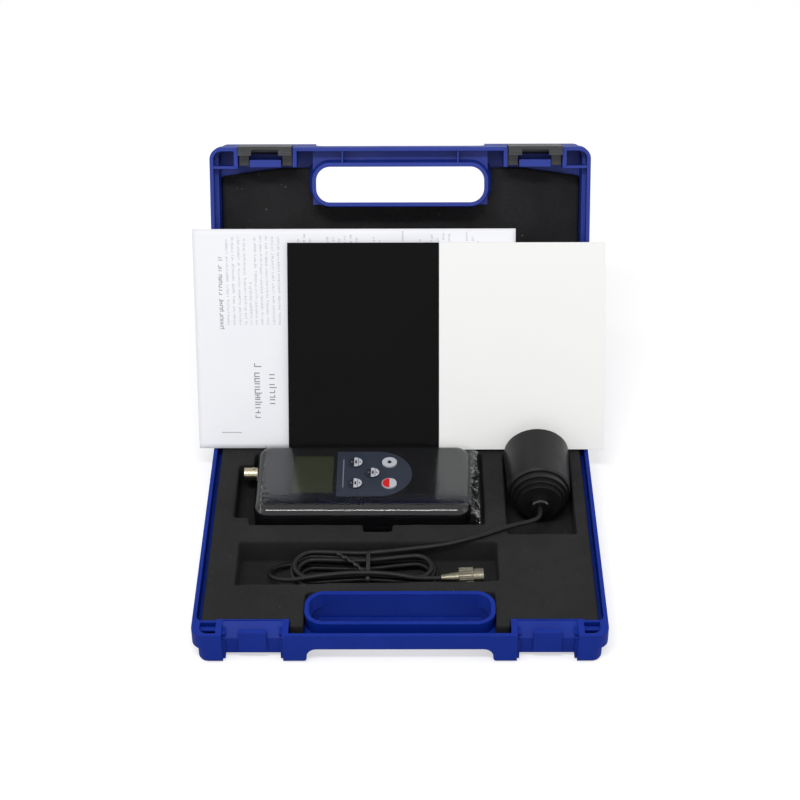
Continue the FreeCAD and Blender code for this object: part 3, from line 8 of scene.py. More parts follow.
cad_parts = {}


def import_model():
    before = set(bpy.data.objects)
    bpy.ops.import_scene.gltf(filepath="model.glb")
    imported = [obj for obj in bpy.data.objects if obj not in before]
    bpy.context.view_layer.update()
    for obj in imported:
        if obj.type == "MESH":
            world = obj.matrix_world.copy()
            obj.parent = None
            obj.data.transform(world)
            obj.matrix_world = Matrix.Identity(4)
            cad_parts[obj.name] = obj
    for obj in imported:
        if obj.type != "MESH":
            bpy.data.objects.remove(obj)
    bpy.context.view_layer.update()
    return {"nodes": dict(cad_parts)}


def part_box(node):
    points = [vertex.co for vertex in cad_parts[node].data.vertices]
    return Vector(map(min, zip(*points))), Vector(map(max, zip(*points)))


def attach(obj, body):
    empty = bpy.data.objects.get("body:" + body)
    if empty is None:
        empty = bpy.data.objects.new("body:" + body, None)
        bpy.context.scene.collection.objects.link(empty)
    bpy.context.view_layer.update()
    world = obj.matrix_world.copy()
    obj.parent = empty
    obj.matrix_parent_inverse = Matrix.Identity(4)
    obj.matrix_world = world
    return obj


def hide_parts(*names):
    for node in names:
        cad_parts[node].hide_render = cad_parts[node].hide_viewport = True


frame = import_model()
NODES = frame["nodes"]
MM = 0.001


# ---------------------------------------------------------------- materials

class Graph:
    """The node graph of one material, around its Principled shader."""

    def __init__(self, name, color, roughness, **sockets):
        self.material = bpy.data.materials.new(name)
        self.material.use_nodes = True
        self.tree = self.material.node_tree
        self.shader = self.tree.nodes["Principled BSDF"]
        self.shader.inputs["Base Color"].default_value = (*color, 1)
        self.shader.inputs["Roughness"].default_value = roughness
        for socket, value in sockets.items():
            self.shader.inputs[socket.replace("_", " ")].default_value = value
        self.place = self.add("ShaderNodeTexCoord").outputs["Object"]

    def add(self, kind, **values):
        node = self.tree.nodes.new(kind)
        for key, value in values.items():
            setattr(node, key, value)
        return node

    def link(self, source, target):
        self.tree.links.new(source, target)

    def stretched(self, scale):
        node = self.add("ShaderNodeMapping")
        node.inputs["Scale"].default_value = scale
        self.link(self.place, node.inputs["Vector"])
        return node.outputs["Vector"]

    def noise(self, scale, detail=2.0, roughness=0.5, distortion=0.0, vector=None):
        node = self.add("ShaderNodeTexNoise")
        node.inputs["Scale"].default_value = scale
        node.inputs["Detail"].default_value = detail
        node.inputs["Roughness"].default_value = roughness
        node.inputs["Distortion"].default_value = distortion
        self.link(vector or self.place, node.inputs["Vector"])
        return node.outputs["Fac"]

    def clouded(self, scale, detail, to_low=0.0, to_high=1.0):
        """Noise, with the middle of its range spread out from to_low to to_high."""
        return self.ranged(self.noise(scale, detail), 0.3, 0.7, to_low, to_high)

    def cells(self, scale):
        node = self.add("ShaderNodeTexVoronoi", feature="F1")
        node.inputs["Scale"].default_value = scale
        self.link(self.place, node.inputs["Vector"])
        return node.outputs["Distance"]

    def ranged(self, source, low, high, to_low=0.0, to_high=1.0):
        node = self.add("ShaderNodeMapRange")
        for name, value in (("From Min", low), ("From Max", high),
                            ("To Min", to_low), ("To Max", to_high)):
            node.inputs[name].default_value = value
        self.link(source, node.inputs["Value"])
        return node.outputs["Result"]

    def math(self, operation, a, b):
        node = self.add("ShaderNodeMath", operation=operation)
        for slot, value in zip(node.inputs, (a, b)):
            if isinstance(value, (int, float)):
                slot.default_value = value
            else:
                self.link(value, slot)
        return node.outputs["Value"]

    def mixed(self, factor, a, b):
        node = self.add("ShaderNodeMix", data_type="RGBA")
        for slot, value in ((node.inputs[0], factor), (node.inputs[6], a), (node.inputs[7], b)):
            if isinstance(value, tuple):
                slot.default_value = (*value, 1)
            elif isinstance(value, (int, float)):
                slot.default_value = value
            else:
                self.link(value, slot)
        return node.outputs[2]

    def ramp(self, source, *stops):
        node = self.add("ShaderNodeValToRGB")
        elements = node.color_ramp.elements
        while len(elements) < len(stops):
            elements.new(0.5)
        for element, (at, color) in zip(elements, stops):
            element.position = at
            element.color = (*color, 1)
        self.link(source, node.inputs["Fac"])
        return node.outputs["Color"]

    def color(self, source):
        self.link(source, self.shader.inputs["Base Color"])

    def roughness(self, source):
        self.link(source, self.shader.inputs["Roughness"])

    def alpha(self, source):
        self.link(source, self.shader.inputs["Alpha"])

    def bump(self, height, distance, strength=1.0, edge=None):
        node = self.add("ShaderNodeBump")
        node.inputs["Distance"].default_value = distance
        node.inputs["Strength"].default_value = strength
        self.link(height, node.inputs["Height"])
        if edge:
            self.link(self.edge(edge), node.inputs["Normal"])
        self.link(node.outputs["Normal"], self.shader.inputs["Normal"])

    def edge(self, radius):
        node = self.add("ShaderNodeBevel", samples=4)
        node.inputs["Radius"].default_value = radius
        return node.outputs["Normal"]

    def rounded(self, radius):
        self.link(self.edge(radius), self.shader.inputs["Normal"])

    def near_edge(self, radius):
        """How far the surface is turned by a rounded edge, from 0 on the flat to 1."""
        bevel = self.edge(radius)
        plain = self.add("ShaderNodeNewGeometry").outputs["Normal"]
        node = self.add("ShaderNodeVectorMath", operation="DOT_PRODUCT")
        self.link(bevel, node.inputs[0])
        self.link(plain, node.inputs[1])
        return self.ranged(node.outputs["Value"], 0.995, 0.8)


def blue_plastic(name, level):
    g = Graph(name, (0.0030, 0.0225, 0.25), 0.5, Specular_IOR_Level=level)
    body = g.mixed(g.clouded(38, 3), (0.0027, 0.021, 0.245), (0.0033, 0.025, 0.275))
    # Lighter blue along the rounded edges: partly wear, partly a painted edge highlight.
    wear_and_edge_highlight = g.math("MULTIPLY", g.near_edge(0.0007), g.ranged(g.noise(160, 3), 0.42, 0.62))
    g.color(g.mixed(g.math("MULTIPLY", wear_and_edge_highlight, 0.3), body, (0.035, 0.08, 0.40)))
    g.roughness(g.clouded(22, 4, 0.44, 0.56))
    grain = g.math("ADD", g.noise(2600, 2, 0.6), g.math("MULTIPLY", g.cells(1500), 0.5))
    g.bump(grain, 0.00005, 0.5, 0.0006)
    return g.material


def latch_plastic():
    g = Graph("latch_plastic", (0.022, 0.023, 0.025), 0.32, Specular_IOR_Level=0.5)
    g.color(g.mixed(g.clouded(60, 3), (0.02, 0.021, 0.023), (0.03, 0.031, 0.034)))
    g.roughness(g.clouded(90, 4, 0.25, 0.4))
    g.bump(g.noise(2400, 2), 0.00004, 0.4, 0.0005)
    return g.material


def foam(name, dark, light, speck):
    """Closed-cell foam: fine cells with painted shade in their pits, slow mottling and a few pale
    specks.
    """
    pit_shade_share, pit_shade_tone, speck_share = 0.35, 0.45, 0.8
    g = Graph(name, dark, 0.95, Specular_IOR_Level=0.12)
    mottle = g.ranged(g.noise(26, 5, 0.62), 0.3, 0.7)
    pits = g.ranged(g.cells(1050), 0.12, 0.55)
    tone = g.mixed(mottle, dark, light)
    # Painted shade: the cells' pits, the hollows of the bump, are darkened.
    tone = g.mixed(g.math("MULTIPLY", g.math("SUBTRACT", 1.0, pits), pit_shade_share), tone,
                   tuple(c * pit_shade_tone for c in dark))
    dust = g.math("MULTIPLY", g.ranged(g.cells(175), 0.13, 0.06), g.ranged(g.noise(70, 2), 0.52, 0.6))
    g.color(g.mixed(g.math("MULTIPLY", dust, speck_share), tone, speck))
    height = g.math("ADD", pits, g.math("MULTIPLY", g.noise(620, 4, 0.7), 0.8))
    g.bump(height, 0.00028, 0.75)
    return g.material


def meter_plastic():
    g = Graph("meter_plastic", (0.0048, 0.005, 0.0058), 0.09, Specular_IOR_Level=0.5)
    g.roughness(g.clouded(120, 4, 0.07, 0.12))
    g.bump(g.noise(900, 3), 0.00001, 0.2, 0.0005)
    return g.material


def clear_window():
    g = Graph("clear_window", (0.008, 0.009, 0.008), 0.06, Specular_IOR_Level=0.5, Alpha=0.2)
    g.roughness(g.clouded(200, 3, 0.04, 0.1))
    return g.material


def lcd_olive():
    g = Graph("lcd_olive", (0.055, 0.064, 0.033), 0.5, Specular_IOR_Level=0.2)
    weave = g.math("MAXIMUM", g.cells(2600), g.noise(300, 2))
    g.color(g.mixed(g.ranged(weave, 0.3, 0.8), (0.048, 0.057, 0.029), (0.062, 0.072, 0.038)))
    g.rounded(0.0004)
    return g.material


def overlay_print():
    g = Graph("overlay_print", (0.024, 0.031, 0.050), 0.42, Specular_IOR_Level=0.3)
    g.color(g.mixed(g.clouded(45, 3), (0.021, 0.028, 0.046), (0.027, 0.035, 0.055)))
    g.bump(g.noise(3200, 2), 0.00003, 0.5)
    return g.material


def nickel(name, color, roughness):
    """A plated or bare metal with faint stains."""
    stain_tone = 0.72
    g = Graph(name, color, roughness, Metallic=1.0)
    stained = g.ranged(g.noise(260, 4), 0.35, 0.7)
    g.color(g.mixed(stained, color, tuple(c * stain_tone for c in color)))
    g.roughness(g.clouded(700, 3, roughness - 0.08, roughness + 0.1))
    g.bump(g.noise(1400, 3), 0.00003, 0.5, 0.0002)
    return g.material


def probe_black():
    g = Graph("probe_black", (0.0075, 0.0075, 0.0082), 0.38, Specular_IOR_Level=0.28)
    g.color(g.mixed(g.clouded(50, 4), (0.0065, 0.0065, 0.0071), (0.0092, 0.0092, 0.0099)))
    g.roughness(g.clouded(140, 4, 0.32, 0.44))
    turned = g.noise(1, 3, vector=g.stretched((60, 5200, 60)))
    g.bump(turned, 0.00003, 0.5, 0.0004)
    return g.material


def gland_black():
    g = Graph("gland_black", (0.007, 0.007, 0.0075), 0.16, Specular_IOR_Level=0.6)
    g.roughness(g.clouded(300, 3, 0.1, 0.24))
    g.bump(g.noise(700, 3), 0.00003, 0.5, 0.0004)
    return g.material


def cord_black():
    g = Graph("cord_black", (0.009, 0.009, 0.0097), 0.45, Specular_IOR_Level=0.22)
    g.color(g.mixed(g.clouded(90, 3), (0.0075, 0.0075, 0.0081), (0.0118, 0.0118, 0.0126)))
    g.roughness(g.clouded(300, 3, 0.38, 0.55))
    g.bump(g.noise(1800, 3), 0.00005, 0.5)
    return g.material


def tie_black():
    g = Graph("tie_black", (0.010, 0.010, 0.011), 0.36, Specular_IOR_Level=0.35)
    g.color(g.mixed(g.clouded(220, 3), (0.0075, 0.0075, 0.0083), (0.013, 0.013, 0.0145)))
    g.bump(g.noise(900, 3), 0.0001, 0.6)
    return g.material


def enamel(name, color, other, roughness, level):
    """A baked coat on a calibration plate, with faint waviness and fine dust."""
    g = Graph(name, color, roughness, Specular_IOR_Level=level)
    g.color(g.mixed(g.ranged(g.noise(24, 2), 0.2, 0.8), color, other))
    g.roughness(g.clouded(40, 4, roughness - 0.02, roughness + 0.03))
    g.bump(g.noise(320, 4, 0.6), 0.00001, 0.2, 0.0004)
    return g.material


def paper():
    g = Graph("paper_white", (0.80, 0.81, 0.85), 0.85, Specular_IOR_Level=0.2)
    fibre = g.noise(900, 4, 0.7)
    g.color(g.mixed(g.ranged(g.noise(16, 3), 0.35, 0.65), (0.84, 0.848, 0.885), (0.862, 0.868, 0.895)))
    g.bump(fibre, 0.00004, 0.4)
    return g.material


def ink():
    g = Graph("print_ink", (0.30, 0.31, 0.36), 0.9, Specular_IOR_Level=0.1)
    g.color(g.ramp(g.noise(1500, 3), (0.35, (0.36, 0.37, 0.43)), (0.65, (0.55, 0.56, 0.62))))
    return g.material


def title_ink():
    g = Graph("title_ink", (0.10, 0.10, 0.12), 0.9, Specular_IOR_Level=0.1)
    g.color(g.ramp(g.noise(1200, 3), (0.35, (0.13, 0.13, 0.155)), (0.7, (0.33, 0.33, 0.37))))
    return g.material


def printed(name, color, roughness=0.45):
    """Print on plastic, a little uneven."""
    shade = 0.9
    g = Graph(name, color, roughness, Specular_IOR_Level=0.4)
    g.color(g.mixed(g.ranged(g.noise(700, 3), 0.35, 0.65), color, tuple(c * shade for c in color)))
    g.bump(g.noise(2200, 2), 0.00002, 0.4)
    return g.material


def film():
    """Thin clear shrink film: a faint mirror on the flats, brighter where it is crinkled, and clear
    along the meter's front edge as painted shade that keeps that edge dark.
    """
    g = Graph("clear_film", (0.92, 0.94, 0.97), 0.1, Metallic=1.0, Alpha=0.04)
    flat_share, end_share, fold_share = 0.032, 0.05, 0.42
    flat_crinkle, slow_wave = 0.006, 0.04
    right_end, left_end, shaded_front_edge = (0.0515, 0.0592), (-0.1026, -0.1050), (0.0165, 0.0130)
    crinkle = g.noise(150, 5, 0.65, 1.2)
    at = g.add("ShaderNodeSeparateXYZ")
    g.link(g.place, at.inputs["Vector"])
    right = g.ranged(at.outputs["X"], *right_end)
    left = g.ranged(at.outputs["X"], *left_end)
    ends = g.math("MAXIMUM", right, left)
    # Painted shade: the film turns clear towards the meter's front edge, so that edge shows no bright
    # reflection.
    flat = g.ranged(at.outputs["Y"], *shaded_front_edge, 1.0, 0.0)
    folds = g.math("MULTIPLY", g.ranged(crinkle, 0.52, 0.66), ends)
    haze = g.math("ADD", g.math("MULTIPLY", folds, fold_share), g.math("MULTIPLY", ends, end_share))
    g.alpha(g.math("ADD", g.math("MULTIPLY", flat, flat_share), haze))
    wave = g.math("MULTIPLY", crinkle, g.math("ADD", ends, flat_crinkle))
    slow = g.noise(1, 2, vector=g.stretched((14, 60, 60)))
    g.bump(g.math("ADD", wave, g.math("MULTIPLY", slow, slow_wave)), 0.0011, 0.7)
    return g.material


def plain(name, color, roughness):
    """A simple material for what lies inside."""
    shade = 0.8
    g = Graph(name, color, roughness, Metallic=0.0)
    g.color(g.mixed(g.clouded(400, 3), color, tuple(c * shade for c in color)))
    g.bump(g.noise(1200, 2), 0.00003, 0.4, 0.0003)
    return g.material


BLUE = blue_plastic("blue_plastic", 0.14)
LID_BLUE = blue_plastic("lid_blue_plastic", 0.5)
LATCH = latch_plastic()
BASE_FOAM = foam("base_foam_cells", (0.0195, 0.0195, 0.0200), (0.0270, 0.0270, 0.0275),
                 (0.06, 0.06, 0.06))
LID_FOAM = foam("lid_foam_cells", (0.0185, 0.0185, 0.0198), (0.0310, 0.0310, 0.0325),
                (0.16, 0.16, 0.16))
METER = meter_plastic()
NICKEL = nickel("plated_metal", (0.19, 0.175, 0.135), 0.36)
SOCKET = nickel("socket_metal", (0.50, 0.45, 0.32), 0.28)
STEEL = nickel("pin_steel", (0.50, 0.50, 0.50), 0.35)
BRASS = nickel("contact_brass", (0.75, 0.55, 0.22), 0.3)
OVERLAY = overlay_print()
CORD = cord_black()
TIE = tie_black()
PROBE = probe_black()
GLAND = gland_black()
PAPER = paper()
FILM = film()
KEY = printed("button_print", (0.024, 0.031, 0.050), 0.4)
KEY_WHITE = printed("key_white", (0.56, 0.57, 0.62))
KEY_RED = printed("key_red", (0.66, 0.006, 0.010))
KEY_DARK = printed("key_dark", (0.005, 0.006, 0.014))
LABEL_LINE = printed("label_line", (0.20, 0.22, 0.27))
MASK = printed("mask_dark", (0.006, 0.0062, 0.007), 0.2)
INK = ink()
TITLE_INK = title_ink()
BLACK_ENAMEL = enamel("black_enamel", (0.0036, 0.0036, 0.0041), (0.0042, 0.0042, 0.0048), 0.3, 0.06)
WHITE_ENAMEL = enamel("white_enamel", (0.872, 0.876, 0.862), (0.88, 0.884, 0.87), 0.24, 0.4)

NODE_MATERIALS = {
    "base_shell": BLUE, "lid_shell": LID_BLUE, "hinge_pins": STEEL, "latch_pins": STEEL,
    "latch_left": LATCH, "latch_right": LATCH,
    "meter_front_cover": METER, "meter_back_cover": METER, "battery_door": METER,
    "batteries": plain("cell_jacket", (0.05, 0.12, 0.28), 0.35),
    "battery_contacts": STEEL, "circuit_board": plain("board_green", (0.02, 0.10, 0.045), 0.45),
    "housing_screws": STEEL, "display_window": clear_window(), "lcd_module": lcd_olive(),
    "keypad_overlay": OVERLAY, "button_top_left": KEY, "button_top_right": KEY_WHITE,
    "button_middle": KEY, "button_bottom_left": KEY, "button_bottom_right": KEY_WHITE,
    "socket_body": SOCKET, "socket_contact": BRASS, "socket_nut": NICKEL,
    "probe_housing": PROBE, "probe_rear_cap": PROBE, "probe_gland": GLAND,
    "probe_aperture_ring": NICKEL, "probe_window": clear_window(),
    "probe_board": plain("probe_board_green", (0.02, 0.10, 0.045), 0.45),
    "probe_lamps": plain("lamp_clear", (0.7, 0.7, 0.6), 0.1),
    "plug_boot": NICKEL, "plug_body": NICKEL, "plug_ring": NICKEL, "plug_contact": BRASS,
    "black_plate": BLACK_ENAMEL, "white_plate": WHITE_ENAMEL, "manual_staple": STEEL,
}
for label, material in NODE_MATERIALS.items():
    slots = NODES[label].data.materials
    for index in range(len(slots)):
        slots[index] = material


# ---------------------------------------------------------------- building pieces

def finish_piece(obj, body, material=None, replaced=()):
    """Gives the piece its material, makes it ride with its body and hides the CAD nodes it stands in
    for.
    """
    if material:
        obj.data.materials.clear()
        obj.data.materials.append(material)
    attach(obj, body)
    if replaced:
        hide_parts(*replaced)
    return obj


def mesh_object(name, vertices, faces, smooth=True):
    mesh = bpy.data.meshes.new(name)
    mesh.from_pydata([tuple(v) for v in vertices], [], faces)
    mesh.validate()
    for face in mesh.polygons:
        face.use_smooth = smooth
    obj = bpy.data.objects.new(name, mesh)
    bpy.context.scene.collection.objects.link(obj)
    return obj


def applied(obj):
    """Puts the result of the object's modifiers into its mesh."""
    graph = bpy.context.evaluated_depsgraph_get()
    mesh = bpy.data.meshes.new_from_object(obj.evaluated_get(graph))
    obj.modifiers.clear()
    obj.data = mesh


def copied(name, labels, turn=None):
    """One mesh made of copies of CAD nodes, turned first where asked."""
    built = bmesh.new()
    for label in labels:
        mesh = NODES[label].data.copy()
        if turn:
            mesh.transform(turn)
        built.from_mesh(mesh)
    mesh = bpy.data.meshes.new(name)
    built.to_mesh(mesh)
    built.free()
    mesh.materials.clear()
    obj = bpy.data.objects.new(name, mesh)
    bpy.context.scene.collection.objects.link(obj)
    return obj


# ---------------------------------------------------------------- cable

LEAD_ROUTE = (
    (104.3, 26, 26.62), (104.3, 16, 26.18), (101.2, 9.8, 26.2), (95.4, 6.2, 26.8), (88.1, 3.3, 27.2),
    (79.2, -0.1, 27.4), (68.5, -5.2, 27.4), (57.5, -10.6, 27.3), (46.5, -14.3, 27.1),
    (35.8, -15.6, 24.6), (25.2, -15.2, 22),
)
TAIL_ROUTE = (
    (-75.0, -17.9, 6.6), (-86.5, -20.2, 7.4), (-94.6, -27.4, 9.8),
    (-95.6, -37.4, 13.2), (-88.6, -45.2, 16.8), (-77.6, -48.7, 19.6), (-64.0, -48.2, 22.4),
    (-49.0, -46.9, 23.7), (-33.0, -45.5, 24.1), (-15.0, -45.8, 24.0), (-2.0, -47.2, 23.5),
    (9.0, -49.3, 22.6), (19.6, -48.1, 20.5), (29.4, -47.5, 20.5),
)
CORD_RADIUS = 1.8
HANK_X, HANK_Y, HANK_WAIST = -26.0, -32.9, 3.0
# each run of the hank: its distance from the middle, and its height where it starts and ends
HANK_RUNS = (
    (15.0, 22.0, 18.9), (12.95, 18.9, 18.9), (10.9, 18.9, 14.8), (12.95, 14.8, 14.8),
    (15.0, 14.8, 14.8), (17.05, 14.8, 10.7), (15.0, 10.7, 10.7), (12.95, 10.7, 10.7),
    (10.9, 10.7, 6.6), (12.95, 6.6, 6.6), (15.0, 6.6, 6.6),
)
# along a run, from the waist: distance along it and how much of the waist's pull is left
RUN_POINTS = ((-31.0, 0.12), (-13.0, 0.78), (0.0, 1.08), (13.0, 0.78), (31.0, 0.12))
# around an end, from the run's line: how far out past the run and how far across, in radii
END_POINTS = ((0.41, 1.0), (1.0, 0.41), (1.0, -0.41), (0.41, -1.0))
HANK_END = 36.7


def hank_points():
    """Points of the hank's runs and folds, one after the other, in millimetres."""
    points = []
    for number, (distance, start, end) in enumerate(HANK_RUNS):
        side = 1 if number % 2 == 0 else -1
        for along, pull in RUN_POINTS:
            share = (along + HANK_END) / (2 * HANK_END)
            points.append((HANK_X - side * along, HANK_Y + side * (distance - HANK_WAIST * pull),
                           start + (end - start) * share))
        if number + 1 < len(HANK_RUNS):
            after = HANK_RUNS[number + 1][0]
            radius, middle = (distance + after) / 2, side * (distance - after) / 2
            for out, across in END_POINTS:
                points.append((HANK_X - side * (HANK_END + radius * out),
                               HANK_Y + middle + side * radius * across, end))
    return points


def cable():
    """The whole cord as one round curve: lead, hank and tail."""
    route = list(LEAD_ROUTE) + hank_points() + list(TAIL_ROUTE)
    curve = bpy.data.curves.new("cable", "CURVE")
    curve.dimensions = "3D"
    spline = curve.splines.new("NURBS")
    spline.points.add(len(route) - 1)
    for point, (x, y, z) in zip(spline.points, route):
        point.co = (x * MM, y * MM, z * MM, 1)
    spline.order_u = 3
    spline.use_endpoint_u = True
    spline.resolution_u = 6
    curve.bevel_depth = CORD_RADIUS * MM
    curve.bevel_resolution = 5
    curve.use_fill_caps = True
    obj = bpy.data.objects.new("cable", curve)
    bpy.context.scene.collection.objects.link(obj)
    curve.materials.append(CORD)
    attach(obj, "probe")
    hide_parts("cable_lead", "cable_hank", "cable_tail")
    return obj


CABLE = cable()


# ---------------------------------------------------------------- soft foam

NOTCH_HALF, NOTCH_END, NOTCH_START = 69.6, -63.8, -93.3
NOTCH_RADIUS, NOTCH_OVER, NOTCH_STEPS = 16.5, 3.4, 8
# noise over the foam's skin: how fine it is, and how far it lifts the skin in metres
FOAM_SWELLS = ((70, 0.00022), (420, 0.00007))


def notch_fill(obj):
    """Foam that closes up to the rounded walls of the lid's hand hole, in the shut lid's frame."""
    heights = [vertex.co.z for vertex in obj.data.vertices]
    half, end, over = NOTCH_HALF, NOTCH_END, NOTCH_OVER
    turns = [math.pi / 2 * k / NOTCH_STEPS for k in range(NOTCH_STEPS + 1)]
    arc = [(half - NOTCH_RADIUS + NOTCH_RADIUS * math.cos(a),
            end - NOTCH_RADIUS + NOTCH_RADIUS * math.sin(a)) for a in turns]
    inner = [(half, NOTCH_START)] + arc + [(-x, y) for x, y in reversed(arc)] + [(-half, NOTCH_START)]
    outer = [(-half - over, NOTCH_START), (-half - over, end + over),
             (half + over, end + over), (half + over, NOTCH_START)]
    outline = inner + outer
    built = bmesh.new()
    built.from_mesh(obj.data)
    rings = [[built.verts.new((x * MM, y * MM, z)) for x, y in outline]
             for z in (min(heights), max(heights))]
    built.faces.new(reversed(rings[0]))
    built.faces.new(rings[1])
    for k in range(len(outline)):
        after = (k + 1) % len(outline)
        built.faces.new((rings[0][k], rings[0][after], rings[1][after], rings[1][k]))
    built.to_mesh(obj.data)
    built.free()


def soft_foam(name, labels, body, material, voxel, turn=None):
    """Foam with softly rounded cut edges and a slightly uneven skin, from its CAD solids."""
    obj = copied(name, labels, turn)
    if turn:
        notch_fill(obj)
    remesh = obj.modifiers.new("remesh", "REMESH")
    remesh.mode = "VOXEL"
    remesh.voxel_size = voxel
    smooth = obj.modifiers.new("smooth", "SMOOTH")
    smooth.factor = 0.5
    smooth.iterations = 4
    applied(obj)
    moved = []
    for vertex in obj.data.vertices:
        at = vertex.co
        rise = sum(noise.noise(at * fine) * lift for fine, lift in FOAM_SWELLS)
        moved.extend(at + vertex.normal * rise)
    obj.data.vertices.foreach_set("co", moved)
    obj.data.update()
    if turn:
        obj.data.transform(turn.inverted())
    for face in obj.data.polygons:
        face.use_smooth = True
    finish_piece(obj, body, material, labels)


LID_OPENING = math.radians(115.5)
HINGE = Vector((0, 111.5 * MM, 26.15 * MM))
LID_FLAT = (Matrix.Translation(HINGE) @ Matrix.Rotation(LID_OPENING, 4, "X")
            @ Matrix.Translation(-HINGE))
soft_foam("base_foam_soft", ("base_foam", "base_foam_pad"), "base", BASE_FOAM, 0.0013)
soft_foam("lid_foam_soft", ("lid_foam",), "lid", LID_FOAM, 0.0012, LID_FLAT)


# ---------------------------------------------------------------- manual

LEAN = math.radians(31.1)
FOOT_Y, FOOT_Z = 91.6, 26.4
LEAN_POSE = (Matrix.Translation((0, FOOT_Y * MM, FOOT_Z * MM))
             @ Matrix.Rotation(math.pi / 2 - LEAN, 4, "X"))
PAGE_LEFT, PAGE_RIGHT, PAGE_FOOT, PAGE_TOP = -159.7, 88.3, 0.9, 170.3
PAGE_SKEW = 3.7
LEAF_DEPTHS = (-0.34, -0.60, -0.86, -1.12)
LEAF_TRIM, LEAF_THICKNESS, INK_LIFT = 0.35, 0.11, 0.02
# where a leaf comes free of its neighbours, over what length, and how far it waves, in millimetres
FREE_Y, FREE_Y_RUN, FREE_X, FREE_X_RUN = 120, 50, 120, 40
WAVE_HELD, WAVE_FREE = 0.02, 0.055


def on_page(x, y, z):
    """A point of the manual, in its own upright frame in millimetres, as it lies in the case."""
    share = (PAGE_RIGHT - x) / (PAGE_RIGHT - PAGE_LEFT)
    return LEAN_POSE @ Vector(((x + PAGE_SKEW * share * (1 - y / PAGE_TOP)) * MM, y * MM, z * MM))


def leaf_wave(x, y, number):
    """How a leaf stands off its neighbours, most at its free edges."""
    free = max(0.0, (y - FREE_Y) / FREE_Y_RUN) ** 2 + max(0.0, (-FREE_X - x) / FREE_X_RUN) ** 2
    wave = noise.noise(Vector((x * 0.013, y * 0.016, number * 7.3)))
    return wave * (WAVE_HELD + WAVE_FREE * min(free, 1.0))


def manual_leaves():
    """Four thin leaves, each a little smaller than the one before it."""
    across, along, side_trim = 60, 42, 1.6
    vertices, faces = [], []
    for number, depth in enumerate(LEAF_DEPTHS):
        base = len(vertices)
        trim = LEAF_TRIM * number
        for i in range(across + 1):
            for j in range(along + 1):
                x = PAGE_LEFT + trim + (PAGE_RIGHT - PAGE_LEFT - trim * side_trim) * i / across
                y = PAGE_FOOT + (PAGE_TOP - PAGE_FOOT - trim) * j / along
                vertices.append(on_page(x, y, depth + leaf_wave(x, y, number)))
        for i in range(across):
            for j in range(along):
                a = base + i * (along + 1) + j
                faces.append((a, a + along + 1, a + along + 2, a + 1))
    obj = mesh_object("manual_leaves", vertices, faces)
    solidify = obj.modifiers.new("thickness", "SOLIDIFY")
    solidify.thickness = LEAF_THICKNESS * MM
    applied(obj)
    finish_piece(obj, "manual", PAPER, ("manual",))


def mark(vertices, faces, x0, x1, y0, y1):
    """One flat mark of ink on the top leaf."""
    start = len(vertices)
    for x, y in ((x0, y0), (x1, y0), (x1, y1), (x0, y1)):
        vertices.append(on_page(x, y, LEAF_DEPTHS[0] + leaf_wave(x, y, 0) + INK_LIFT))
    faces.append((start, start + 1, start + 2, start + 3))


def print_columns(name, columns, letter, stem, material, seed):
    """Lines of plain marks that stand for print, running up the page, with no letters in them."""
    draw = random.Random(seed)
    pen, middle, word_gap = letter * 0.17, 0.6, letter * 0.75
    tall_share, tall_stem = 0.3, 1.35
    vertices, faces = [], []
    for x, low, high in columns:
        y = low
        while y < high:
            for _ in range(draw.randint(2, 9)):
                wide = letter * draw.uniform(0.75, 1.15)
                if y + wide > high:
                    break
                tall = stem * (tall_stem if draw.random() < tall_share else 1.0)
                kind = draw.randint(0, 2)
                second = y + wide * middle
                mark(vertices, faces, x, x + tall, y, y + pen)
                if kind != 1:
                    mark(vertices, faces, x, x + stem, second, second + pen)
                if kind != 2:
                    place = x + stem * draw.choice((0.0, 0.45, 0.85))
                    mark(vertices, faces, place, place + pen, y + pen, second)
                y += wide
            y += word_gap
    obj = mesh_object(name, vertices, faces, False)
    finish_piece(obj, "manual", material)


# lines of print: place across the page, and where each starts and ends up the page
TEXT_LINES = [(x, 97.0, 165.0) for x in (-134.4, -129.9, -125.3, -120.9)]
TEXT_LINES += [(-116.8, 97.0, 131.0)]
TEXT_LINES += [(x, 97.0, 165.5) for x in (-112.6, -108.2, -104.0, -99.2, -94.7)]
STRIP_LINES = [(-79.0 + 4.45 * k, 148.0, 163.0 + (k * 5 % 7)) for k in range(32)
               if k % 8 not in (3, 4) and k not in (15, 16, 17, 22)]
manual_leaves()
print_columns("manual_print", TEXT_LINES + STRIP_LINES, 1.75, 1.5, INK, 4)
print_columns("manual_heading", [(-140.3, 93.6, 150.0)], 2.9, 2.5, TITLE_INK, 9)
print_columns("manual_title", [(-115.0, 24.5, 72.0), (-103.4, 35.4, 61.0)], 4.3, 4.2, TITLE_INK, 12)


# ---------------------------------------------------------------- twist tie

# the strip's section with the wire's ridge on both faces, in half widths and half thicknesses
STRIP_SECTION = ((-1, -1), (-0.5, -1), (-0.28, -1.9), (0.28, -1.9), (0.5, -1), (1, -1),
                 (1, 1), (0.5, 1), (0.28, 1.9), (-0.28, 1.9), (-0.5, 1), (-1, 1))


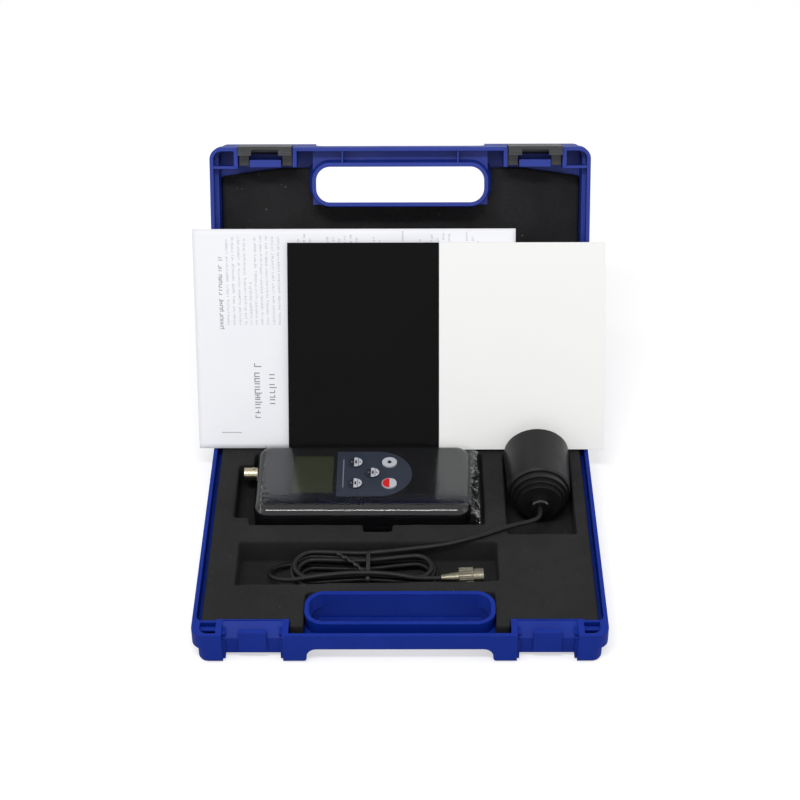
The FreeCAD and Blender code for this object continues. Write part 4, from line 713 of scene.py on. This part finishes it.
def swept_strip(name, points, widths, thickness, twist, material):
    """A flat strip along points, turned about its own line by the twist at each point."""
    vertices, faces = [], []
    count = len(points)
    for i, point in enumerate(points):
        here = Vector(point)
        ahead = Vector(points[min(i + 1, count - 1)]) - Vector(points[max(i - 1, 0)])
        ahead.normalize()
        side = Vector((1, 0, 0)) if abs(ahead.x) < 0.6 else Vector((0, 1, 0))
        side = (side - ahead * side.dot(ahead)).normalized()
        up = ahead.cross(side)
        angle = twist[i]
        a = side * math.cos(angle) + up * math.sin(angle)
        b = up * math.cos(angle) - side * math.sin(angle)
        for u, v in STRIP_SECTION:
            at = here + a * (u * widths[i] / 2) + b * (v * thickness / 2)
            vertices.append(at * MM)
    ring = len(STRIP_SECTION)
    for i in range(count - 1):
        for k in range(ring):
            a, b = i * ring + k, i * ring + (k + 1) % ring
            faces.append((a, b, b + ring, a + ring))
    faces.append(tuple(range(ring)))
    faces.append(tuple((count - 1) * ring + k for k in reversed(range(ring))))
    obj = mesh_object(name, vertices, faces)
    obj.data.materials.append(material)
    return obj


TIE_X, TIE_LOW, TIE_HIGH, TIE_NEAR, TIE_FAR = -23.0, 3.95, 21.9, -49.7, -18.3
TIE_CORNER, TIE_CORNER_STEPS, TIE_SWAY = 3.4, 6, 0.4
BAND_WIDTH, BAND_THICKNESS = 2.9, 0.5
# the tail: where it starts, how far it runs, how it bows, and how its width and twist go
TAIL_START, TAIL_RUN, TAIL_BOW = (-2.0, -44.5, 22.9), (-20.4, 20.5), (1.2, 0.6)
TAIL_WIDTH, TAIL_TAPER, TAIL_THICKNESS, TAIL_TURNS, TAIL_STEPS = 3.5, 0.4, 1.0, 2.5, 46
TAIL_BOW_ANGLE = 3.1


def twist_tie():
    """A plastic-coated wire strip around the hank, its two ends twisted into one tail."""
    near, far = TIE_NEAR + TIE_CORNER, TIE_FAR - TIE_CORNER
    low, high = TIE_LOW + TIE_CORNER, TIE_HIGH - TIE_CORNER
    loop = []
    for cy, cz, begin in ((far, high, 0), (near, high, 90), (near, low, 180), (far, low, 270)):
        for k in range(TIE_CORNER_STEPS + 1):
            angle = math.radians(begin + 90 * k / TIE_CORNER_STEPS)
            loop.append((TIE_X + TIE_SWAY * math.sin(cy), cy + TIE_CORNER * math.cos(angle),
                         cz + TIE_CORNER * math.sin(angle)))
    loop.append(loop[0])
    band = swept_strip("tie_band", loop, [BAND_WIDTH] * len(loop), BAND_THICKNESS,
                       [0.0] * len(loop), TIE)
    tail, widths, turns = [], [], []
    for k in range(TAIL_STEPS + 1):
        share = k / TAIL_STEPS
        bow = TAIL_BOW[0] * math.sin(share * TAIL_BOW_ANGLE)
        tail.append((TIE_X + TAIL_START[0] + TAIL_RUN[0] * share + bow,
                     TAIL_START[1] + TAIL_RUN[1] * share,
                     TAIL_START[2] + TAIL_BOW[1] * math.sin(share * math.pi)))
        widths.append(TAIL_WIDTH - TAIL_TAPER * share)
        turns.append(share * 2 * math.pi * TAIL_TURNS)
    end = swept_strip("tie_tail", tail, widths, TAIL_THICKNESS, turns, TIE)
    joined = bmesh.new()
    joined.from_mesh(band.data)
    joined.from_mesh(end.data)
    joined.to_mesh(band.data)
    joined.free()
    bpy.data.objects.remove(end)
    band.name = "twist_tie_wire"
    return finish_piece(band, "probe", TIE, ("twist_tie",))


TIE_PIECE = twist_tie()


# ---------------------------------------------------------------- wrapping film

FILM_LEFT, FILM_RIGHT = -105.1, 60.1
FILM_NEAR, FILM_FAR, FILM_LOW, FILM_HIGH, FILM_CORNER = 8.0, 87.2, 3.7, 37.2, 7.1
FILM_THICKNESS = 0.06
FILM_AROUND, FILM_ALONG, FILM_CROWDING = 300, 150, 1.25
METER_RIGHT, METER_MIDDLE_Z = 52.8, 19.0
# lengths over which the film's two ends stand off the meter, and the most that it lifts outwards
END_RIGHT, END_LEFT, MOST_OUT = 3.0, 7, 0.12
# how the right end closes in towards the middle, and how its rim strays sideways
CLOSE_IN, CLOSE_POWER, RIM_STRAY = 0.42, 1.5, 1.1
# each rim: how far it draws in on the whole, and how ragged it is
LEFT_RIM, RIGHT_RIM = (1.2, 1.1), (0.9, 0.8)
SLACK, SLACK_SCALE, CREASE_SCALE = (0.02, 0.05), (0.055, 0.05, 0.09), (0.16, 0.22, 0.22)
# each end: how far it stands off the meter, and how deep its creases go
RIGHT_CREASES, LEFT_CREASES = (0.15, 1.9), (0.1, 0.5)


def film_section(share):
    """A point of the rounded outline around the meter, and the outward direction there."""
    low_y, high_y, low_z, high_z, corner = FILM_NEAR, FILM_FAR, FILM_LOW, FILM_HIGH, FILM_CORNER
    flat_y, flat_z = high_y - low_y - 2 * corner, high_z - low_z - 2 * corner
    arc = math.pi / 2 * corner
    total = 2 * (flat_y + flat_z + 2 * arc)
    at = share * total
    legs = ((low_y + corner, high_z, 1, 0, flat_y), (high_y, high_z - corner, 0, -1, flat_z),
            (high_y - corner, low_z, -1, 0, flat_y), (low_y, low_z + corner, 0, 1, flat_z))
    for y, z, dy, dz, length in legs:
        normal = (-dz, dy)
        if at <= length:
            return y + dy * at, z + dz * at, normal[0], normal[1]
        at -= length
        if at <= arc:
            turn = at / corner
            cy, cz = y + dy * length - normal[0] * corner, z + dz * length - normal[1] * corner
            ny = normal[0] * math.cos(turn) + dy * math.sin(turn)
            nz = normal[1] * math.cos(turn) + dz * math.sin(turn)
            return cy + ny * corner, cz + nz * corner, ny, nz
        at -= arc
    return film_section(0)


def wrapping_film():
    """The film as a tube: taut on the meter, ragged at its left rim, crinkled at its right end."""
    around, along = FILM_AROUND, FILM_ALONG
    vertices, faces = [], []
    for i in range(along + 1):
        run = 1 - (1 - i / along) ** FILM_CROWDING
        for j in range(around):
            share = j / around
            y, z, ny, nz = film_section(share)
            edge = (noise.noise(Vector((share * 26, 0.3, 5.0)))
                    + 0.6 * noise.noise(Vector((share * 70, 3.3, 5.0))))
            left = FILM_LEFT + LEFT_RIM[0] + LEFT_RIM[1] * edge
            right = FILM_RIGHT - RIGHT_RIM[0] - RIGHT_RIM[1] * edge
            x = left + (right - left) * run
            past = max(0.0, (x - METER_RIGHT + END_RIGHT) / (FILM_RIGHT - METER_RIGHT + END_RIGHT))
            start = max(0.0, (FILM_LEFT + END_LEFT - x) / END_LEFT)
            place = Vector((x * SLACK_SCALE[0], y * SLACK_SCALE[1], z * SLACK_SCALE[2]))
            fine = Vector((x * CREASE_SCALE[0], y * CREASE_SCALE[1], z * CREASE_SCALE[2]))
            ridge = abs(noise.noise(fine)) + 0.6 * abs(noise.noise(fine * 2.3))
            out = (SLACK[0] + SLACK[1] * noise.noise(place)
                   + past * (RIGHT_CREASES[0] - RIGHT_CREASES[1] * ridge)
                   + start * (LEFT_CREASES[0] - LEFT_CREASES[1] * ridge))
            out = min(out, MOST_OUT)
            z = z + (METER_MIDDLE_Z - z) * CLOSE_IN * past ** CLOSE_POWER
            vertices.append(((x + past * RIM_STRAY * noise.noise(fine * 1.4)) * MM,
                             (y + ny * out) * MM, (z + nz * out) * MM))
    for i in range(along):
        for j in range(around):
            a, b = i * around + j, i * around + (j + 1) % around
            faces.append((a, a + around, b + around, b))
    obj = mesh_object("shrink_film", vertices, faces)
    solidify = obj.modifiers.new("thickness", "SOLIDIFY")
    solidify.thickness = FILM_THICKNESS * MM
    applied(obj)
    finish_piece(obj, "meter", FILM, ("wrapping_film",))


wrapping_film()


# ---------------------------------------------------------------- key prints and label

# heights of the keys' tops and of the meter's face, each with the paint that lies on it
KEY_TOP, KEY_PAINT, KEY_OVERPRINT = 36.9, 36.94, 36.97
MASK_LOW, MASK_TOP, LABEL_LOW, LABEL_TOP = 35.6, 35.63, 36.0, 36.03
KEY_RADIUS = 5.2
CHORD_STEPS, DROP_STEPS = 14, 20
# the display's dark frame: its outside and the window in it, left, right, near and far
MASK_OUTSIDE, MASK_INSIDE = (-87.2, -47.2, 24.8, 76.8), (-80.3, -50.7, 29.2, 73.1)
LABEL_BAR = [(-43.6, 34.6), (-42.8, 34.6), (-42.8, 67.5), (-43.6, 67.5)]
# a key's shapes, in radii: between which chords its bands run, and its arrow, bar and tick
DARK_BAND, FIRST_WHITE, SECOND_WHITE, RED_EDGE = (-1.0, -0.25), (-0.19, 0.36), (0.44, 1.0), 0.04
ARROW = ((0.58, -0.2), (0.82, 0.0), (0.58, 0.2))
BAR, TICK = (-0.06, 0.20, -0.36, 0.36), (-0.66, -0.46, -0.12, 0.12)
DROP_WIDE, DROP_TALL, DROP_TAPER = 0.3, 0.36, 0.25


def slab(name, outlines, low, high, body, material):
    """Thin flat printed shapes, each an outline in millimetres."""
    vertices, faces = [], []
    for outline in outlines:
        start, count = len(vertices), len(outline)
        for z in (low, high):
            vertices.extend((x * MM, y * MM, z * MM) for x, y in outline)
        faces.append(tuple(start + count + k for k in range(count)))
        faces.append(tuple(start + k for k in reversed(range(count))))
        for k in range(count):
            after = (k + 1) % count
            faces.append((start + k, start + after, start + count + after, start + count + k))
    obj = mesh_object(name, vertices, faces, False)
    finish_piece(obj, body, material)


def chord_strip(cx, cy, low, high):
    """The part of a key's round face between two upright chords, given in radii."""
    first, last = math.acos(high), math.acos(low)
    arc = [first + (last - first) * k / CHORD_STEPS for k in range(CHORD_STEPS + 1)]
    upper = [(cx + KEY_RADIUS * math.cos(a), cy + KEY_RADIUS * math.sin(a)) for a in arc]
    lower = [(cx + KEY_RADIUS * math.cos(a), cy - KEY_RADIUS * math.sin(a)) for a in reversed(arc)]
    return upper + lower


def key_centre(label):
    low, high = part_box(label)
    return (low.x + high.x) / 2 / MM, (low.y + high.y) / 2 / MM


def on_key(cx, cy, points):
    """Points given in radii from a key's middle, in millimetres."""
    return [(cx + x * KEY_RADIUS, cy + y * KEY_RADIUS) for x, y in points]


def rectangle(x0, x1, y0, y1):
    return [(x0, y0), (x1, y0), (x1, y1), (x0, y1)]


def key_paint(label, part, outlines, material):
    slab(label + part, outlines, KEY_TOP, KEY_PAINT, label, material)


def key_overprint(label, part, outlines, material):
    slab(label + part, outlines, KEY_PAINT, KEY_OVERPRINT, label, material)


def key_prints():
    for label in ("button_top_left", "button_middle", "button_bottom_left"):
        cx, cy = key_centre(label)
        whites = [chord_strip(cx, cy, *FIRST_WHITE), chord_strip(cx, cy, *SECOND_WHITE)]
        key_paint(label, "_dark", [chord_strip(cx, cy, *DARK_BAND)], KEY_DARK)
        key_paint(label, "_white", whites, KEY_WHITE)
        symbol = [on_key(cx, cy, rectangle(*BAR)), on_key(cx, cy, ARROW)]
        key_overprint(label, "_symbol", symbol, KEY_DARK)
        tick = [on_key(cx, cy, rectangle(*TICK))]
        key_overprint(label, "_tick", tick, LABEL_LINE)
    label = "button_top_right"
    cx, cy = key_centre(label)
    drop = [(cx + DROP_WIDE * KEY_RADIUS * math.cos(a) * (1 - DROP_TAPER * math.sin(a)),
             cy + DROP_TALL * KEY_RADIUS * math.sin(a))
            for a in (2 * math.pi * k / DROP_STEPS for k in range(DROP_STEPS))]
    key_paint(label, "_white", [chord_strip(cx, cy, -1.0, 1.0)], KEY_WHITE)
    key_overprint(label, "_drop", [drop], KEY_DARK)
    label = "button_bottom_right"
    cx, cy = key_centre(label)
    key_paint(label, "_red", [chord_strip(cx, cy, -1.0, RED_EDGE)], KEY_RED)
    key_paint(label, "_white", [chord_strip(cx, cy, RED_EDGE, 1.0)], KEY_WHITE)
    left, right, near, far = MASK_OUTSIDE
    inner_left, inner_right, inner_near, inner_far = MASK_INSIDE
    ring = [rectangle(left, inner_left, near, far), rectangle(inner_right, right, near, far),
            rectangle(inner_left, inner_right, near, inner_near),
            rectangle(inner_left, inner_right, inner_far, far)]
    slab("display_mask", ring, MASK_LOW, MASK_TOP, "meter", MASK)
    slab("label_line", [LABEL_BAR], LABEL_LOW, LABEL_TOP, "meter", LABEL_LINE)


key_prints()


# ---------------------------------------------------------------- camera and light

# the photo's camera: its pitch down, yaw and roll in degrees, its place in metres and its lens
CAMERA_TURN, CAMERA_PLACE = (37.78, -0.42, 0.35), (0.00787, -1.0305, 0.9444)
CAMERA_LENS, SENSOR_WIDTH = 84.08, 36
WORLD_DIFFUSE, WORLD_SEEN = 0.63, 1.0
FLOOR_HALF, FLOOR_GREY, FLOOR_ROUGHNESS, FLOOR_GLOW = 3.0, 0.6, 0.9, 0.52


def camera():
    pitch, yaw, roll = (math.radians(a) for a in CAMERA_TURN)
    forward = Vector((math.sin(yaw) * math.cos(pitch), math.cos(yaw) * math.cos(pitch),
                      -math.sin(pitch)))
    right = Vector((math.cos(yaw), -math.sin(yaw), 0))
    down = forward.cross(right)
    across = right * math.cos(roll) + down * math.sin(roll)
    below = down * math.cos(roll) - right * math.sin(roll)
    matrix = Matrix((across, -below, -forward)).transposed().to_4x4()
    matrix.translation = Vector(CAMERA_PLACE)
    data = bpy.data.cameras.new("camera")
    data.lens = CAMERA_LENS
    data.sensor_width = SENSOR_WIDTH
    obj = bpy.data.objects.new("camera", data)
    obj.matrix_world = matrix
    bpy.context.scene.collection.objects.link(obj)
    bpy.context.scene.camera = obj


def area_light(name, size, energy, place, target):
    data = bpy.data.lights.new(name, "AREA")
    data.shape = "RECTANGLE"
    data.size, data.size_y = size
    data.energy = energy
    obj = bpy.data.objects.new(name, data)
    aim = Vector(target) - Vector(place)
    obj.rotation_euler = aim.to_track_quat("-Z", "Y").to_euler()
    obj.location = place
    bpy.context.scene.collection.objects.link(obj)


def world():
    """White, at full strength wherever it is seen, in glass or in a reflection, and softer as light."""
    data = bpy.data.worlds.new("studio")
    bpy.context.scene.world = data
    data.use_nodes = True
    nodes, links = data.node_tree.nodes, data.node_tree.links
    background = nodes["Background"]
    path = nodes.new("ShaderNodeLightPath")
    seen = nodes.new("ShaderNodeMath")
    seen.operation = "MAXIMUM"
    links.new(path.outputs["Is Camera Ray"], seen.inputs[0])
    links.new(path.outputs["Is Transmission Ray"], seen.inputs[1])
    also = nodes.new("ShaderNodeMath")
    also.operation = "MAXIMUM"
    links.new(seen.outputs["Value"], also.inputs[0])
    links.new(path.outputs["Is Glossy Ray"], also.inputs[1])
    strength = nodes.new("ShaderNodeMapRange")
    strength.inputs["To Min"].default_value = WORLD_DIFFUSE
    strength.inputs["To Max"].default_value = WORLD_SEEN
    links.new(also.outputs["Value"], strength.inputs["Value"])
    links.new(strength.outputs["Result"], background.inputs["Strength"])
    background.inputs["Color"].default_value = (1, 1, 1, 1)


def floor():
    size = FLOOR_HALF
    corners = [(-size, -size, 0), (size, -size, 0), (size, size, 0), (-size, size, 0)]
    obj = mesh_object("floor", corners, [(0, 1, 2, 3)], False)
    material = bpy.data.materials.new("floor")
    material.use_nodes = True
    tree = material.node_tree
    shader = tree.nodes["Principled BSDF"]
    shader.inputs["Base Color"].default_value = (FLOOR_GREY, FLOOR_GREY, FLOOR_GREY, 1)
    shader.inputs["Roughness"].default_value = FLOOR_ROUGHNESS
    shader.inputs["Specular IOR Level"].default_value = 0.0
    shader.inputs["Emission Color"].default_value = (1, 1, 1, 1)
    path = tree.nodes.new("ShaderNodeLightPath")
    glow = tree.nodes.new("ShaderNodeMath")
    glow.operation = "MULTIPLY"
    glow.inputs[1].default_value = FLOOR_GLOW
    tree.links.new(path.outputs["Is Camera Ray"], glow.inputs[0])
    tree.links.new(glow.outputs["Value"], shader.inputs["Emission Strength"])
    obj.data.materials.append(material)


camera()
world()
floor()
area_light("key", (0.8, 0.14), 11, (-0.15, -0.75, 1.5), (0, 0.03, 0.05))
area_light("left", (0.7, 1.2), 2.5, (-1.3, -0.5, 0.7), (0, 0.05, 0.08))
area_light("right", (0.7, 1.2), 2.5, (1.3, -0.4, 0.7), (0, 0.05, 0.08))
bpy.context.scene.view_settings.view_transform = "Standard"
